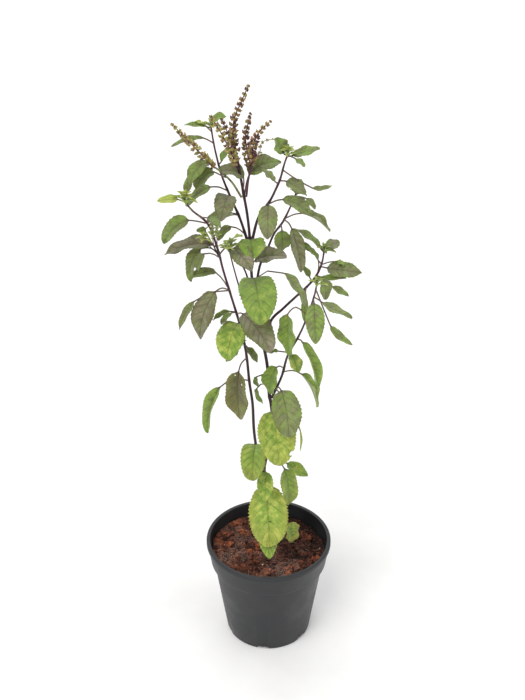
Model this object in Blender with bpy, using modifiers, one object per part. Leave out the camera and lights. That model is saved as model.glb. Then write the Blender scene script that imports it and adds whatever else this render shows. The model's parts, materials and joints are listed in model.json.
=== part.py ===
"""Potted holy basil: a moulded nursery pot, its soil, and one branched plant in flower.

Metres, +Z up. The origin is the middle of the pot's foot. The front of the plant faces -Y.
Plant measures are millimetres from the middle of the soil's surface, and angles are degrees.
"""
import math
from typing import NamedTuple

import bmesh
import bpy
from mathutils import Matrix, Vector

MM = 0.001
GAP = 0.0003  # left between pieces that rest on or grow from each other
TIP_GAP = 0.0009  # left where one stem goes on from the tip of another

# Pot: rim, lip, collar and body
POT_HEIGHT = 0.115
POT_RIM_RADIUS = 0.065
POT_BASE_RADIUS = 0.0445
POT_WALL = 0.0015
POT_FLOOR = 0.0018
LIP_WIDTH = 0.004
LIP_HEIGHT = 0.005
LIP_OVERHANG = 0.0015
LIP_ROUNDING = 0.0008
COLLAR_HEIGHT = 0.026
COLLAR_TAPER = 0.003
SHOULDER = 0.003
POT_STEPS = 48

# Drain slots round the foot of the pot
SLOT_COUNT = 6
SLOT_WIDTH = 0.012
SLOT_HEIGHT = 0.0035
SLOT_DEPTH = 0.008
SLOT_FIRST_ANGLE = -98.0

# Soil
SOIL_BELOW_RIM = 0.015
SOIL_LUMP = 0.0022
SOIL_RINGS = 6
SOIL_LEVEL_EDGE = 0.97  # share of the surface's radius outside which it stays level
ROOT_DEPTH = 0.025
ROOT_CLEARANCE = 0.0006  # round the foot of the stem in its hole

# Plant
PLANT_HEIGHT = 0.495
DRAWN_HEIGHT = 0.495
STEM_SPAN_STEPS = 2
PETIOLE_WIDTH = 0.0013
LEAF_THICKNESS = 0.0006
PETIOLE_STEPS = 2
BLADE_STEPS = 7
BLADE_LIMPNESS = 0.6  # under 1 a blade bends most beside its stalk
WHORL_PITCH = 0.0048
CALYX_REACH = 0.0041
CALYX_WAIST = 0.0015
CALYX_CLOSING = 0.6  # share by which the calyces shrink towards a spike's tip
RIPE_HEIGHT = 400  # height, in table millimetres, above which leaves are all olive


class Stem(NamedTuple):
    """A stem: its parent, the height where it leaves it, its two radii and its route."""

    parent: str
    height: float
    base: float
    tip: float
    route: tuple


class Leaf(NamedTuple):
    """A leaf: where it grows, where it points, its lengths, and how it rises, dips and turns."""

    stem: str
    height: float
    heading: float
    petiole: float
    length: float
    width: float
    rise: float
    dip: float
    droop: float
    roll: float = 0.0
    fold: float = 15.0


STEMS = {
    "stem_main": Stem("", 0, 2.1, 1.2, (
        (-2, 0, 0), (-4, 0, 50), (-5, 0, 101), (0, 0, 136), (3, 0, 170), (0, 0, 194), (-2, 0, 226),
        (-7, 0, 255), (-12, 0, 284), (-15, 0, 305), (-17, 0, 332), (-18, 0, 360), (-20, 0, 381),
        (-23, 0, 400), (-26, 0, 419), (-28, 0, 432))),
    "stem_left": Stem("stem_main", 100, 1.5, 0.9, (
        (-13, -2, 134), (-15, -3, 155), (-16, -5, 184), (-19, -6, 210), (-21, -8, 236), (-24, -9, 258),
        (-29, -11, 282), (-36, -13, 310), (-42, -14, 334), (-46, -16, 354), (-54, -18, 379),
        (-67, -19, 392), (-74, -20, 402))),
    "branch_right_low": Stem("stem_main", 190, 1.2, 0.7, (
        (12, -8, 218), (17, -15, 244), (26, -23, 268), (32, -30, 288), (39, -40, 319), (41, -45, 334))),
    "branch_right_mid": Stem("stem_main", 252, 1.4, 0.8, (
        (2, 6, 271), (13, 10, 281), (25, 15, 291), (35, 19, 299), (44, 23, 309), (49, 27, 320),
        (51, 30, 331))),
    "branch_left_mid": Stem("stem_main", 256, 0.9, 0.6, (
        (-20, -4, 287), (-27, -7, 310), (-32, -9, 331), (-36, -12, 351))),
    "branch_left_inner": Stem("stem_main", 304, 0.9, 0.6, (
        (-22, 8, 320), (-29, 14, 331), (-36, 20, 341))),
    "branch_right_high": Stem("stem_main", 302, 1.3, 0.8, (
        (-9, 7, 326), (-2, 12, 341), (4, 17, 354), (12, 21, 364), (19, 26, 377), (24, 30, 388))),
    "branch_left_top": Stem("stem_main", 357, 1.3, 0.7, (
        (-26, 3, 374), (-31, 5, 386), (-37, 7, 400), (-43, 10, 416), (-48, 13, 437), (-51, 15, 456))),
    "branch_right_top": Stem("stem_main", 357, 1.3, 0.7, (
        (-10, -6, 380), (0, -9, 397), (5, -12, 409), (9, -14, 420), (12, -18, 434), (15, -20, 444))),
}

SPIKES = {
    "spike_centre": Stem("stem_main", 432, 0.9, 0.4, (
        (-31, 0, 450), (-31, 0, 464), (-29, 0, 472), (-25, 0, 481), (-22, 0, 488), (-19, 0, 495))),
    "spike_right": Stem("stem_main", 398, 1.0, 0.4, (
        (-19, -2, 412), (-17, 2, 425), (-20, 7, 438), (-21, 9, 450), (-19, 10, 460), (-17, 10, 468))),
    "spike_dense": Stem("spike_right", 421, 0.8, 0.4, (
        (-15, -5, 436), (-14, -8, 449), (-9, -10, 460), (-1, -10, 468))),
    "spike_bent": Stem("stem_main", 424, 0.8, 0.4, (
        (-32, -9, 439), (-36, -12, 449), (-42, -12, 461), (-49, -12, 473))),
    "spike_purple": Stem("stem_main", 422, 0.8, 0.4, (
        (-33, 10, 439), (-36, 12, 450), (-41, 13, 462))),
    "spike_left": Stem("stem_main", 398, 1.1, 0.4, (
        (-33, -3, 412), (-43, -5, 423), (-50, -6, 429), (-61, -8, 442), (-72, -10, 455),
        (-81, -12, 466))),
}
BARE_STALK = {"spike_centre": 6, "spike_right": 28, "spike_dense": 12, "spike_bent": 8,
              "spike_purple": 8, "spike_left": 38}

LEAVES = (
    # lowest leaves, over the soil
    Leaf("stem_main", 41, -20, 26, 22, 14, 40, -45, -90, 20),
    Leaf("stem_main", 58, -84, 15, 41, 22, 5, -35, -50),
    Leaf("stem_main", 97, -82, 11, 67, 42, 10, -41, -70),
    Leaf("stem_main", 113, -100, 15, 22, 14, 30, -22, -35),
    Leaf("stem_main", 121, -36, 25, 44, 18, 20, -60, -94, 28, 20),
    Leaf("stem_left", 129, -96, 12, 45, 24, 90, 40, -70),
    Leaf("stem_main", 177, -80, 3, 56, 38, 26, -23, -59),
    Leaf("branch_right_low", 201, -72, 16, 48, 28, 76, -12, -81, 10),
    # left stem, bottom to top
    Leaf("stem_left", 212, -164, 27, 54, 18, 40, -48, -90, -30, 40),
    Leaf("stem_left", 238, -123, 14, 56, 27, 10, -75, -100),
    Leaf("stem_left", 274, -124, 4, 36, 21, 90, 45, -65, -15),
    Leaf("stem_left", 287, -49, 7, 44, 27, 15, -8, -46, 15),
    Leaf("stem_left", 313, -144, 13, 49, 23, 55, -30, -88, -20),
    Leaf("stem_left", 349, -178, 16, 36, 14, 75, -25, -100, -45),
    Leaf("stem_left", 357, 174, 2, 46, 20, 50, 20, -35, -15),
    Leaf("stem_left", 381, -165, 14, 32, 17, 26, 10, -70, -40, 30),
    # right lower branch
    Leaf("branch_right_low", 224, -13, 15, 40, 16, 35, -35, -82, 0, 40),
    Leaf("branch_right_low", 228, -165, 6, 29, 15, 85, -35, -105, -40),
    Leaf("branch_right_low", 249, -60, 2, 18, 12, 20, -20, -60),
    Leaf("branch_right_low", 267, -34, 3, 50, 18, 25, -53, -74, 0, 35),
    Leaf("branch_right_low", 296, 155, 22, 44, 20, 70, -85, -96, -75),
    Leaf("branch_right_low", 317, -86, 4, 37, 18, 8, -33, -77),
    Leaf("branch_right_low", 319, -30, 7, 31, 13, -25, -25, -8),
    # right middle branch
    Leaf("branch_right_mid", 309, -52, 7, 21, 15, 30, -34, -104),
    Leaf("branch_right_mid", 317, -20, 4, 34, 18, -8, 0, 1, 40),
    Leaf("branch_right_mid", 330, 40, 2, 18, 12, 55, 48, -14, 30),
    Leaf("branch_right_mid", 330, 155, 4, 32, 12, 60, 53, 12),
    # middle of the plant, round the main stem
    Leaf("stem_main", 313, -81, 10, 60, 34, 90, 25, -62),
    Leaf("stem_main", 332, -25, 4, 32, 17, 80, 50, -20, 30),
    Leaf("stem_main", 356, -88, 9, 38, 22, 55, 20, -42),
    Leaf("branch_left_mid", 351, -50, 4, 29, 18, 90, 15, -47, 20),
    # right upper branches
    Leaf("branch_right_high", 361, -82, 7, 21, 16, 38, -55, -110),
    Leaf("branch_right_high", 366, -54, 10, 42, 15, 2, -50, -78, 10, 25),
    Leaf("branch_right_high", 368, -7, 14, 32, 14, 43, 2, -52, 0, 40),
    Leaf("branch_right_top", 395, -92, 2, 31, 18, 30, -22, -78),
    Leaf("branch_right_top", 395, -6, 11, 32, 15, 43, 5, -48, 30),
    Leaf("branch_right_top", 418, -21, 4, 20, 16, 20, -10, -36, 20),
    Leaf("branch_right_top", 442, 165, 2, 15, 16, 36, 62, 64, -35),
    Leaf("branch_right_top", 442, 2, 3, 24, 11, 10, 20, 12, 30),
    # left upper branches
    Leaf("stem_main", 399, 28, 17, 35, 18, 95, 65, -21, 30),
    Leaf("branch_left_top", 394, -104, 4, 32, 20, 75, 30, -58, -10),
    Leaf("branch_left_top", 401, -171, 12, 27, 12, 38, 6, -48, -20),
    Leaf("spike_left", 418, -152, 12, 24, 13, 8, -6, -88, -20),
)


def growth():
    """Metres for each millimetre in the plant's tables."""
    return MM * PLANT_HEIGHT / DRAWN_HEIGHT


def soil_top():
    """Height of the soil's surface, where the plant's own measures start."""
    return POT_HEIGHT - SOIL_BELOW_RIM


def plant_point(x, y, z):
    """A point of the plant's tables in metres."""
    return Vector((x, y, z)) * growth() + Vector((0, 0, soil_top()))


def collection(name):
    """A new collection in the scene."""
    made = bpy.data.collections.new(name)
    bpy.context.scene.collection.children.link(made)
    return made


def dress(obj, colour, roughness):
    """Give an object its own plain Principled material."""
    material = bpy.data.materials.new(obj.name + "_finish")
    material.use_nodes = True
    shader = material.node_tree.nodes["Principled BSDF"]
    shader.inputs["Base Color"].default_value = (*colour, 1.0)
    shader.inputs["Roughness"].default_value = roughness
    shader.inputs["Metallic"].default_value = 0.0
    obj.data.materials.append(material)


def mesh_object(name, bm, home):
    """Turn a bmesh into a named object in a collection."""
    mesh = bpy.data.meshes.new(name)
    bm.to_mesh(mesh)
    bm.free()
    obj = bpy.data.objects.new(name, mesh)
    home.objects.link(obj)
    return obj


# Pot and soil

def collar_radii():
    """Outer radii of the collar under the lip and at its lower edge."""
    top = POT_RIM_RADIUS - LIP_OVERHANG
    return top, top - COLLAR_TAPER


def body_radius(height):
    """Outer radius of the tapered body at a height below the collar."""
    widest = collar_radii()[1] - SHOULDER
    share = height / (POT_HEIGHT - COLLAR_HEIGHT)
    return POT_BASE_RADIUS + (widest - POT_BASE_RADIUS) * share


def inside_profile(clearance, top):
    """Inner wall from the floor's corner up to a height, set in by a clearance."""
    ledge = POT_HEIGHT - COLLAR_HEIGHT + POT_WALL
    collar = collar_radii()[1] - POT_WALL
    rim = POT_RIM_RADIUS - LIP_WIDTH
    share = (top - ledge) / (POT_HEIGHT - ledge)
    return [
        (body_radius(POT_FLOOR) - POT_WALL - clearance, POT_FLOOR + clearance),
        (body_radius(ledge) - POT_WALL - clearance, ledge + clearance),
        (collar - clearance, ledge + clearance),
        (collar + (rim - collar) * share - clearance, top),
    ]


def turned(name, profile, steps, home):
    """A solid turned about Z from a profile of (radius, height) points."""
    bm = bmesh.new()
    verts = [bm.verts.new((radius, 0, height)) for radius, height in profile]
    for first, second in zip(verts, verts[1:]):
        bm.edges.new((first, second))
    obj = mesh_object(name, bm, home)
    screw = obj.modifiers.new("turn", "SCREW")
    screw.steps = steps
    screw.render_steps = steps
    screw.use_merge_vertices = True
    screw.merge_threshold = 0.00001
    return obj


def cut(obj, cutter):
    """Take a cutter's shape out of an object."""
    boolean = obj.modifiers.new("cut_" + cutter.name, "BOOLEAN")
    boolean.operation = "DIFFERENCE"
    boolean.solver = "EXACT"
    boolean.object = cutter
    cutter.hide_render = True
    cutter.display_type = "WIRE"


def drain_slots(cutters):
    """One cutter with a block for each drain slot, at the corner of wall and floor."""
    bm = bmesh.new()
    reach = SLOT_DEPTH * 2
    size = Matrix.Diagonal((reach, SLOT_WIDTH, SLOT_HEIGHT * 2, 1))
    out = Matrix.Translation((POT_BASE_RADIUS - SLOT_DEPTH + reach / 2, 0, 0))
    for index in range(SLOT_COUNT):
        turn = Matrix.Rotation(math.radians(SLOT_FIRST_ANGLE + 360 * index / SLOT_COUNT), 4, "Z")
        bmesh.ops.create_cube(bm, size=1, matrix=turn @ out @ size)
    return mesh_object("drain_slot_cutter", bm, cutters)


def make_pot(parts, cutters):
    """The pot: floor, tapered body, stepped collar and flat lip."""
    collar_top, collar_foot = collar_radii()
    step = POT_HEIGHT - COLLAR_HEIGHT
    profile = [(0, POT_FLOOR)] + inside_profile(0, POT_HEIGHT) + [
        (POT_RIM_RADIUS - LIP_ROUNDING, POT_HEIGHT),
        (POT_RIM_RADIUS, POT_HEIGHT - LIP_ROUNDING),
        (POT_RIM_RADIUS, POT_HEIGHT - LIP_HEIGHT),
        (collar_top, POT_HEIGHT - LIP_HEIGHT),
        (collar_foot, step),
        (body_radius(step), step),
        (body_radius(LIP_ROUNDING), LIP_ROUNDING),
        (POT_BASE_RADIUS - LIP_ROUNDING, 0),
        (0, 0),
    ]
    pot = turned("pot", profile, POT_STEPS, parts)
    cut(pot, drain_slots(cutters))
    dress(pot, (0.02, 0.021, 0.022), 0.55)


def lump(x, y):
    """Height of the soil's crumbled surface above its mean, from -1 to 1."""
    return (math.sin(170 * x + 1.1) * math.cos(150 * y - 0.4) + math.sin(310 * y + 190 * x)) / 2


def make_soil(parts, cutters):
    """The soil: fills the pot up to its level, with a crumbled top and a hole for the stem."""
    level = soil_top()
    side = inside_profile(GAP, level)
    edge = side[-1][0]
    rings = [(edge * (1 - ring / SOIL_RINGS), level) for ring in range(1, SOIL_RINGS)]
    profile = [(0, level)] + rings[::-1] + side[::-1] + [(0, POT_FLOOR + GAP)]
    turned_soil = turned("soil_turned", profile, POT_STEPS, parts)
    depsgraph = bpy.context.evaluated_depsgraph_get()
    mesh = bpy.data.meshes.new_from_object(turned_soil.evaluated_get(depsgraph))
    bpy.data.objects.remove(turned_soil)
    for vert in mesh.vertices:
        inside = math.hypot(vert.co.x, vert.co.y) < edge * SOIL_LEVEL_EDGE
        if inside and vert.co.z > level - MM:
            vert.co.z += SOIL_LUMP * lump(vert.co.x, vert.co.y)
    soil = bpy.data.objects.new("soil", mesh)
    parts.objects.link(soil)
    cut(soil, root_hole(cutters))
    dress(soil, (0.09, 0.03, 0.015), 0.95)


def root_hole(cutters):
    """Cutter for the hole that the foot of the main stem stands in."""
    foot = plant_point(*STEMS["stem_main"].route[0])
    depth = ROOT_DEPTH + GAP
    top = SOIL_LUMP + MM
    bm = bmesh.new()
    radius = STEMS["stem_main"].base * growth() + ROOT_CLEARANCE
    place = Matrix.Translation(foot + Vector((0, 0, (top - depth) / 2)))
    bmesh.ops.create_cone(bm, cap_ends=True, segments=16, radius1=radius, radius2=radius,
                          depth=depth + top, matrix=place)
    return mesh_object("root_hole_cutter", bm, cutters)


# Stems and spikes

def smooth(points):
    """A Catmull-Rom curve through points, with a few steps in each span."""
    ends = [points[0] * 2 - points[1]] + points + [points[-1] * 2 - points[-2]]
    line = []
    for a, b, c, d in zip(ends, ends[1:], ends[2:], ends[3:]):
        for step in range(STEM_SPAN_STEPS):
            t = step / STEM_SPAN_STEPS
            line.append(0.5 * (2 * b + (c - a) * t + (2 * a - 5 * b + 4 * c - d) * t ** 2
                               + (3 * b - a - 3 * c + d) * t ** 3))
    return line + [points[-1]]


def stem_line(name):
    """Points and radii of a stem or spike stalk, from its foot to its tip."""
    stem = STEMS.get(name) or SPIKES[name]
    points = [plant_point(*point) for point in stem.route]
    if stem.parent:
        points.insert(0, branch_foot(stem, points[0]))
    line = smooth(points)
    run = [0.0]
    for first, second in zip(line, line[1:]):
        run.append(run[-1] + (second - first).length)
    return [(point, (stem.base + (stem.tip - stem.base) * at / run[-1]) * growth())
            for point, at in zip(line, run)]


def on_stem(name, height):
    """The point, radius and direction of a stem at a height above the soil, in table millimetres."""
    level = plant_point(0, 0, height).z
    line = stem_line(name)
    for (low, thick), (high, thin) in zip(line, line[1:]):
        share = max(0.0, (level - low.z) / (high.z - low.z))
        if share <= 1.0:
            break
    share = min(1.0, share)
    return low.lerp(high, share), thick + (thin - thick) * share, (high - low).normalized()


def beside(name, height, towards, clearance):
    """A point next to a stem on the side that faces a direction, clear of its surface."""
    centre, radius, along = on_stem(name, height)
    side = towards - along * towards.dot(along)
    return centre + side.normalized() * (radius + GAP + clearance)


def branch_foot(stem, towards):
    """First point of a branch: beside its parent, or end to end with it at its very tip."""
    tip = stem_line(stem.parent)[-1][0]
    centre, radius, along = on_stem(stem.parent, stem.height)
    if centre.z >= tip.z - MM:
        return tip + along * TIP_GAP
    away = (towards - centre) * Vector((1, 1, 0))
    return beside(stem.parent, stem.height, away, stem.base * growth())


def tube(name, line, home):
    """A round tube along (point, radius) pairs, with filled caps."""
    curve = bpy.data.curves.new(name, "CURVE")
    curve.dimensions = "3D"
    curve.bevel_depth = 1.0
    curve.bevel_resolution = 2
    curve.use_fill_caps = True
    spline = curve.splines.new("POLY")
    spline.points.add(len(line) - 1)
    for point, (place, radius) in zip(spline.points, line):
        point.co = (*place, 1)
        point.radius = radius
    obj = bpy.data.objects.new(name, curve)
    home.objects.link(obj)
    return obj


def make_stems(parts):
    """The stem and its branches, the main one standing in the soil by its root end."""
    for name in STEMS:
        line = stem_line(name)
        if name == "stem_main":
            foot, radius = line[0]
            line.insert(0, (foot - Vector((0, 0, ROOT_DEPTH)), radius))
        obj = tube(name, line, parts)
        dress(obj, (0.06, 0.012, 0.025), 0.5)


def point_along(line, distance):
    """The point and radius at a distance along a line."""
    for (low, thick), (high, thin) in zip(line, line[1:]):
        span = (high - low).length
        if distance <= span:
            return low.lerp(high, distance / span), thick + (thin - thick) * distance / span
        distance -= span
    return line[-1]


def whorled(line, bare):
    """The same line with a bare stalk and then a bulge at each whorl of calyces."""
    length = sum((high[0] - low[0]).length for low, high in zip(line, line[1:]))
    made = [line[0], point_along(line, bare * 0.5), point_along(line, bare)]
    count = max(3, round((length - bare) / WHORL_PITCH))
    pitch = (length - bare) / count
    for whorl in range(count):
        size = 1.0 - CALYX_CLOSING * (whorl / count) ** 2
        bulge = point_along(line, bare + (whorl + 0.5) * pitch)[0]
        waist = point_along(line, bare + (whorl + 1.0) * pitch)[0]
        made.append((bulge, CALYX_REACH * size))
        made.append((waist, CALYX_WAIST * size))
    return made


def make_spikes(parts):
    """The flower spikes: stalks with whorls of calyces closing up towards the tip."""
    for name in SPIKES:
        line = whorled(stem_line(name), BARE_STALK[name] * growth())
        dress(tube(name, line, parts), (0.14, 0.07, 0.05), 0.7)


# Leaves

def blade_shape(t):
    """Share of a blade's full width at a share of its length, from stalk end to tip."""
    return math.sin(math.pi * t ** 0.8) ** 0.75 if 0 < t < 1 else 0.0


def midrib(leaf, step):
    """Place and slope of the midrib after a number of grid steps, in the leaf's own frame."""
    place = Vector((0, 0, 0))
    for index in range(step):
        if index < PETIOLE_STEPS:
            share = (index + 0.5) / PETIOLE_STEPS
            slope = leaf.rise + (leaf.dip - leaf.rise) * share
            length = leaf.petiole / PETIOLE_STEPS
        else:
            share = ((index - PETIOLE_STEPS + 0.5) / BLADE_STEPS) ** BLADE_LIMPNESS
            slope = leaf.dip + (leaf.droop - leaf.dip) * share
            length = leaf.length / BLADE_STEPS
        angle = math.radians(slope)
        place += Vector((math.cos(angle), 0, math.sin(angle))) * length * growth()
    return place


def leaf_frame(leaf, step):
    """Directions across the blade and out of its upper face at a grid step."""
    along = midrib(leaf, min(step + 1, PETIOLE_STEPS + BLADE_STEPS)) - midrib(leaf, max(step - 1, 0))
    across = Vector((0, 1, 0))
    up = along.normalized().cross(across)
    turn = math.radians(leaf.roll) * min(1.0, step / PETIOLE_STEPS)
    return (across * math.cos(turn) + up * math.sin(turn),
            up * math.cos(turn) - across * math.sin(turn))


def make_leaf(name, leaf, parts):
    """A leaf: a narrow stalk that widens into a folded, drooping blade."""
    steps = PETIOLE_STEPS + BLADE_STEPS
    bm = bmesh.new()
    bmesh.ops.create_grid(bm, x_segments=steps, y_segments=2, size=1)
    fold = math.radians(leaf.fold)
    for vert in bm.verts:
        step = round((vert.co.x + 1) / 2 * steps)
        side = round(vert.co.y)
        across, up = leaf_frame(leaf, step)
        share = (step - PETIOLE_STEPS) / BLADE_STEPS
        half = max(PETIOLE_WIDTH, leaf.width * growth() * blade_shape(share)) / 2
        lift = up * math.sin(fold) * abs(side)
        vert.co = midrib(leaf, step) + (across * math.cos(fold) * side + lift) * half
    bmesh.ops.recalc_face_normals(bm, faces=bm.faces)
    obj = mesh_object(name, bm, parts)
    skin = obj.modifiers.new("thickness", "SOLIDIFY")
    skin.thickness = LEAF_THICKNESS
    skin.offset = 0
    heading = math.radians(leaf.heading)
    out = Vector((math.cos(heading), math.sin(heading), 0))
    obj.location = beside(leaf.stem, leaf.height, out, PETIOLE_WIDTH / 2)
    obj.rotation_euler = (0, 0, heading)
    ripeness = min(1.0, leaf.height / RIPE_HEIGHT)
    dress(obj, (0.30 - 0.12 * ripeness, 0.42 - 0.2 * ripeness, 0.06 + 0.03 * ripeness), 0.6)


def main():
    """Clear the scene and build every piece."""
    for obj in list(bpy.data.objects):
        bpy.data.objects.remove(obj)
    parts = collection("potted_holy_basil")
    cutters = collection("cutters")
    make_pot(parts, cutters)
    make_soil(parts, cutters)
    make_stems(parts)
    make_spikes(parts)
    for number, leaf in enumerate(LEAVES, start=1):
        make_leaf(f"leaf_{number:02d}", leaf, parts)


main()
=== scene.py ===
"""Potted holy basil in flower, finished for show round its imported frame.

Metres, +Z up, with the pot's foot at the origin and the plant's front facing -Y. The plant's
own measures are millimetres from the middle of the soil's surface, and angles are degrees.
"""
import json
import logging
import math
import random
from collections.abc import Callable, Iterable, Sequence
from dataclasses import dataclass
from enum import Enum

import bmesh
import bpy
from mathutils import Matrix, Vector, noise

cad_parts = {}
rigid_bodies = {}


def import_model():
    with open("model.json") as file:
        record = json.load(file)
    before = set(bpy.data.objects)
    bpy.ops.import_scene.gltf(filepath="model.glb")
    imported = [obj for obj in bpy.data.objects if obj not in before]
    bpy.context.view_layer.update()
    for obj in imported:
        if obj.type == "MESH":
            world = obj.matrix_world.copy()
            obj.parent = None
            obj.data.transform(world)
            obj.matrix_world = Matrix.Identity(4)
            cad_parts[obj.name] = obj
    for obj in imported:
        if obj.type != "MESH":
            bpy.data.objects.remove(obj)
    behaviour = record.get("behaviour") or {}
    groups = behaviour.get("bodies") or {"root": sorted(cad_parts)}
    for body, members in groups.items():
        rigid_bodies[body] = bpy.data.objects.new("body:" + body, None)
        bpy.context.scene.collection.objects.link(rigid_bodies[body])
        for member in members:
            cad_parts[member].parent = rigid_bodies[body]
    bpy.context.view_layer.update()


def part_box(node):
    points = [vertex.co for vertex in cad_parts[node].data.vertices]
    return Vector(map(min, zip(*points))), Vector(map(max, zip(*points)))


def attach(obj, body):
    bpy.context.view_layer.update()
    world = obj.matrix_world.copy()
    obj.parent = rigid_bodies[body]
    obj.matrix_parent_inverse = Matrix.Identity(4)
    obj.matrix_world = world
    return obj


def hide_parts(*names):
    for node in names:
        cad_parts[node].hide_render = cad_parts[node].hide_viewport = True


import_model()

log = logging.getLogger("holy_basil")

MM = 0.001
# Points closer than this are one point.
MERGE = 1e-6
# Each new leaf at a growing tip turns this far round the stem from the last one.
GOLDEN_ANGLE = 137.5
# The soil's surface lies this far below the pot's rim.
SOIL_DEPTH = 15 * MM
Line = list[tuple[Vector, float]]
Colour = tuple[float, float, float, float]


# Shared helpers


def shade(code: str) -> Colour:
    """Turn an sRGB hex colour into linear values.

    Args:
        code: six hex digits after a hash.

    Returns:
        Linear red, green, blue and an alpha of 1.
    """
    def linear(value: float) -> float:
        """One channel from sRGB to linear."""
        return value / 12.92 if value <= 0.04045 else ((value + 0.055) / 1.055) ** 2.4

    red, green, blue = (linear(int(code[at:at + 2], 16) / 255) for at in (1, 3, 5))
    return red, green, blue, 1.0


def blend(low: float, high: float, share: float) -> float:
    """The value a share of the way between two others."""
    return low + (high - low) * share


def ease(value: float) -> float:
    """A smooth step from 0 to 1, held flat outside that range."""
    held = min(1.0, max(0.0, value))
    return held * held * (3.0 - 2.0 * held)


def smooth(points: Sequence[Vector], steps: int) -> list[Vector]:
    """A Catmull-Rom curve through points.

    Args:
        points: the points it passes, at least two.
        steps: how many pieces each span is cut into.

    Returns:
        Points along the curve, both ends among them.
    """
    ends = [points[0] * 2 - points[1], *points, points[-1] * 2 - points[-2]]
    line = []
    for a, b, c, d in zip(ends, ends[1:], ends[2:], ends[3:]):
        for step in range(steps):
            t = step / steps
            line.append(0.5 * (2 * b + (c - a) * t + (2 * a - 5 * b + 4 * c - d) * t ** 2
                               + (3 * b - a - 3 * c + d) * t ** 3))
    return [*line, points[-1].copy()]


def fractal(place: Vector, size: float, seed: float = 0.0, octaves: int = 3) -> float:
    """Layered noise of about -1 to 1 at a place.

    Args:
        place: the place, in metres.
        size: the width of its largest lumps, in metres.
        seed: moves the pattern.
        octaves: how many finer layers it has.

    Returns:
        The value there.
    """
    at = place / size + Vector((seed, seed * 1.7, -seed))
    return noise.fractal(at, 1.0, 2.0, octaves)


# Materials

MIX_FACTOR = 0
MIX_FIRST = 6
MIX_SECOND = 7
MIX_RESULT = 2


def add(tree: bpy.types.NodeTree, kind: str, inputs: dict | None = None,
        **settings: object) -> bpy.types.Node:
    """Add a node with its settings and links.

    Args:
        tree: the material's node tree.
        kind: the node's type, without its ShaderNode prefix.
        inputs: each input's name or number, with a value or the socket that feeds it.
        settings: the node's own properties.

    Returns:
        The new node.
    """
    made = tree.nodes.new("ShaderNode" + kind)
    for key, value in settings.items():
        setattr(made, key, value)
    for key, value in (inputs or {}).items():
        if isinstance(value, bpy.types.NodeSocket):
            tree.links.new(value, made.inputs[key])
        else:
            made.inputs[key].default_value = value
    return made


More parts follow.
